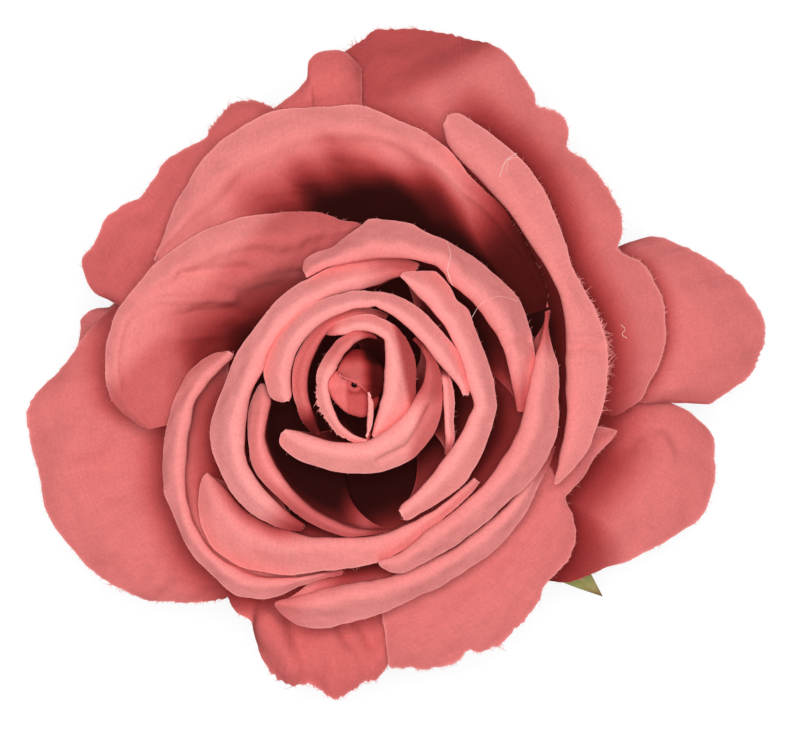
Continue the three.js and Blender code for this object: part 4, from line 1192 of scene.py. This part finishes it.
for thread_name, petal_name, places, thickness in LOOSE_THREADS:
    places = np.array(places)
    stops = np.arange(len(places))
    share = np.linspace(0, len(places) - 1, 24)
    run = np.stack([smooth_curve(stops, places[:, k], share) for k in range(2)], -1)
    run = np.concatenate([run, height_on(petal_name, run)[:, None]], 1)
    run[:, 2] = soften(run[:, 2], 6) + 0.12 * np.sin(share * 2.6) ** 2
    along = np.gradient(run, axis=0)
    along = along / np.linalg.norm(along, axis=1, keepdims=True)
    side = np.cross(along, [0, 0, 1])
    other = np.cross(side, along)
    turn = np.linspace(0, 2 * np.pi, 7)[:-1]
    ring = side[:, None] * np.cos(turn)[None, :, None] + other[:, None] * np.sin(turn)[None, :, None]
    points = run[:, None] + ring * thickness
    number = np.arange(points.shape[0] * 6).reshape(-1, 6)
    after = np.roll(number, -1, axis=1)
    walls = np.stack([number[:-1], after[:-1], after[1:], number[1:]], -1).reshape(-1, 4)
    thread_mesh = bpy.data.meshes.new(thread_name)
    thread_mesh.from_pydata(
        (points.reshape(-1, 3) * MM).tolist(),
        [],
        walls.tolist() + [number[0, ::-1].tolist(), number[-1].tolist()],
    )
    thread_mesh.materials.append(LINT)
    thread_piece = bpy.data.objects.new(thread_name, thread_mesh)
    bpy.context.scene.collection.objects.link(thread_piece)
    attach(thread_piece, "root")


# The sepals are one star of thinner green cloth, stiffened, with brown scorched tips.
# Only one of them is long enough to show beside the bloom.
SEPAL_ANGLE = 319.4
SEPAL_COUNT = 5
SEPAL_HUB = 7.0
SEPAL_LONG = 47.2
SEPAL_SHORT = 34.0
SEPAL_DROOP = 7.0

sepal_cloth, sepal_nodes, sepal_links, sepal_face = new_material("green_sepal_cloth")
sepal_face.inputs["Specular IOR Level"].default_value = 0.2
sepal_weave = sepal_nodes.new("ShaderNodeGroup")
sepal_weave.node_tree = WOVEN_CLOTH
sepal_weave.inputs["Face"].default_value = (0.38, 0.4, 0.13, 1.0)
sepal_weave.inputs["Shade"].default_value = (0.2, 0.24, 0.07, 1.0)
sepal_weave.inputs["Fray"].default_value = (0.5, 0.42, 0.2, 1.0)
tip_share = sepal_nodes.new("ShaderNodeAttribute")
tip_share.attribute_name = "tip"
tip_colour = sepal_nodes.new("ShaderNodeMix")
tip_colour.data_type = "RGBA"
tip_colour.inputs["B"].default_value = (0.3, 0.13, 0.06, 1.0)
sepal_links.new(tip_share.outputs["Fac"], tip_colour.inputs["Factor"])
sepal_links.new(sepal_weave.outputs["Color"], tip_colour.inputs["A"])
sepal_links.new(tip_colour.outputs["Result"], sepal_face.inputs["Base Color"])
sepal_links.new(sepal_weave.outputs["Roughness"], sepal_face.inputs["Roughness"])


def sepal_form(across, rows):
    """A star as a grid round the hub: the reach falls off from each tip with a power of the angle
    to it, and the height bends down along each sepal but the long one."""
    hub_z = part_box("calyx_cup")[1][2] / MM + CAD_GAP + CAD_CLOTH / 2
    j = np.arange(across) / across * SEPAL_COUNT
    nearest = np.round(j)
    off_tip = np.abs(j - nearest) * 2
    shows = (nearest % SEPAL_COUNT == 0) * 1.0
    tip = SEPAL_SHORT + (SEPAL_LONG - SEPAL_SHORT) * shows
    reach = SEPAL_HUB + (tip - SEPAL_HUB) * (1 - off_tip) ** (1.1 + 0.6 * shows)
    v = np.linspace(0, 1, rows)
    hole = post_radius(0.0) + CAD_GAP
    radius = hole + (reach[None, :] - hole) * v[:, None]
    far = np.maximum(radius - SEPAL_HUB, 0) / (SEPAL_LONG - SEPAL_HUB)
    angle = np.radians(SEPAL_ANGLE + j * 360 / SEPAL_COUNT)
    z = hub_z + 2 * far - SEPAL_DROOP * far * (1 - shows)[None, :]
    form = np.stack([radius * np.cos(angle), radius * np.sin(angle), z], -1)
    return form, radius / tip


sepal_grid, sepal_tips = sepal_form(200, 26)
sepal_grid = np.concatenate([sepal_grid, sepal_grid[:, :1]], axis=1)
sepal_tips = np.concatenate([sepal_tips, sepal_tips[:, :1]], axis=1)
sepal_piece, sepal_cut, sepal_area = cloth_mesh("sepal_star", sepal_grid, 0 * sepal_tips, [sepal_cloth])
sepal_tip = sepal_piece.data.attributes.new("tip", "FLOAT", "POINT")
sepal_tip.data.foreach_set("value", ease(sepal_tips, 0.94, 1.0).ravel())
weld = sepal_piece.modifiers.new("close_star", "WELD")
weld.merge_threshold = 0.00001
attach(sepal_piece, "root")
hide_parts("sepals")
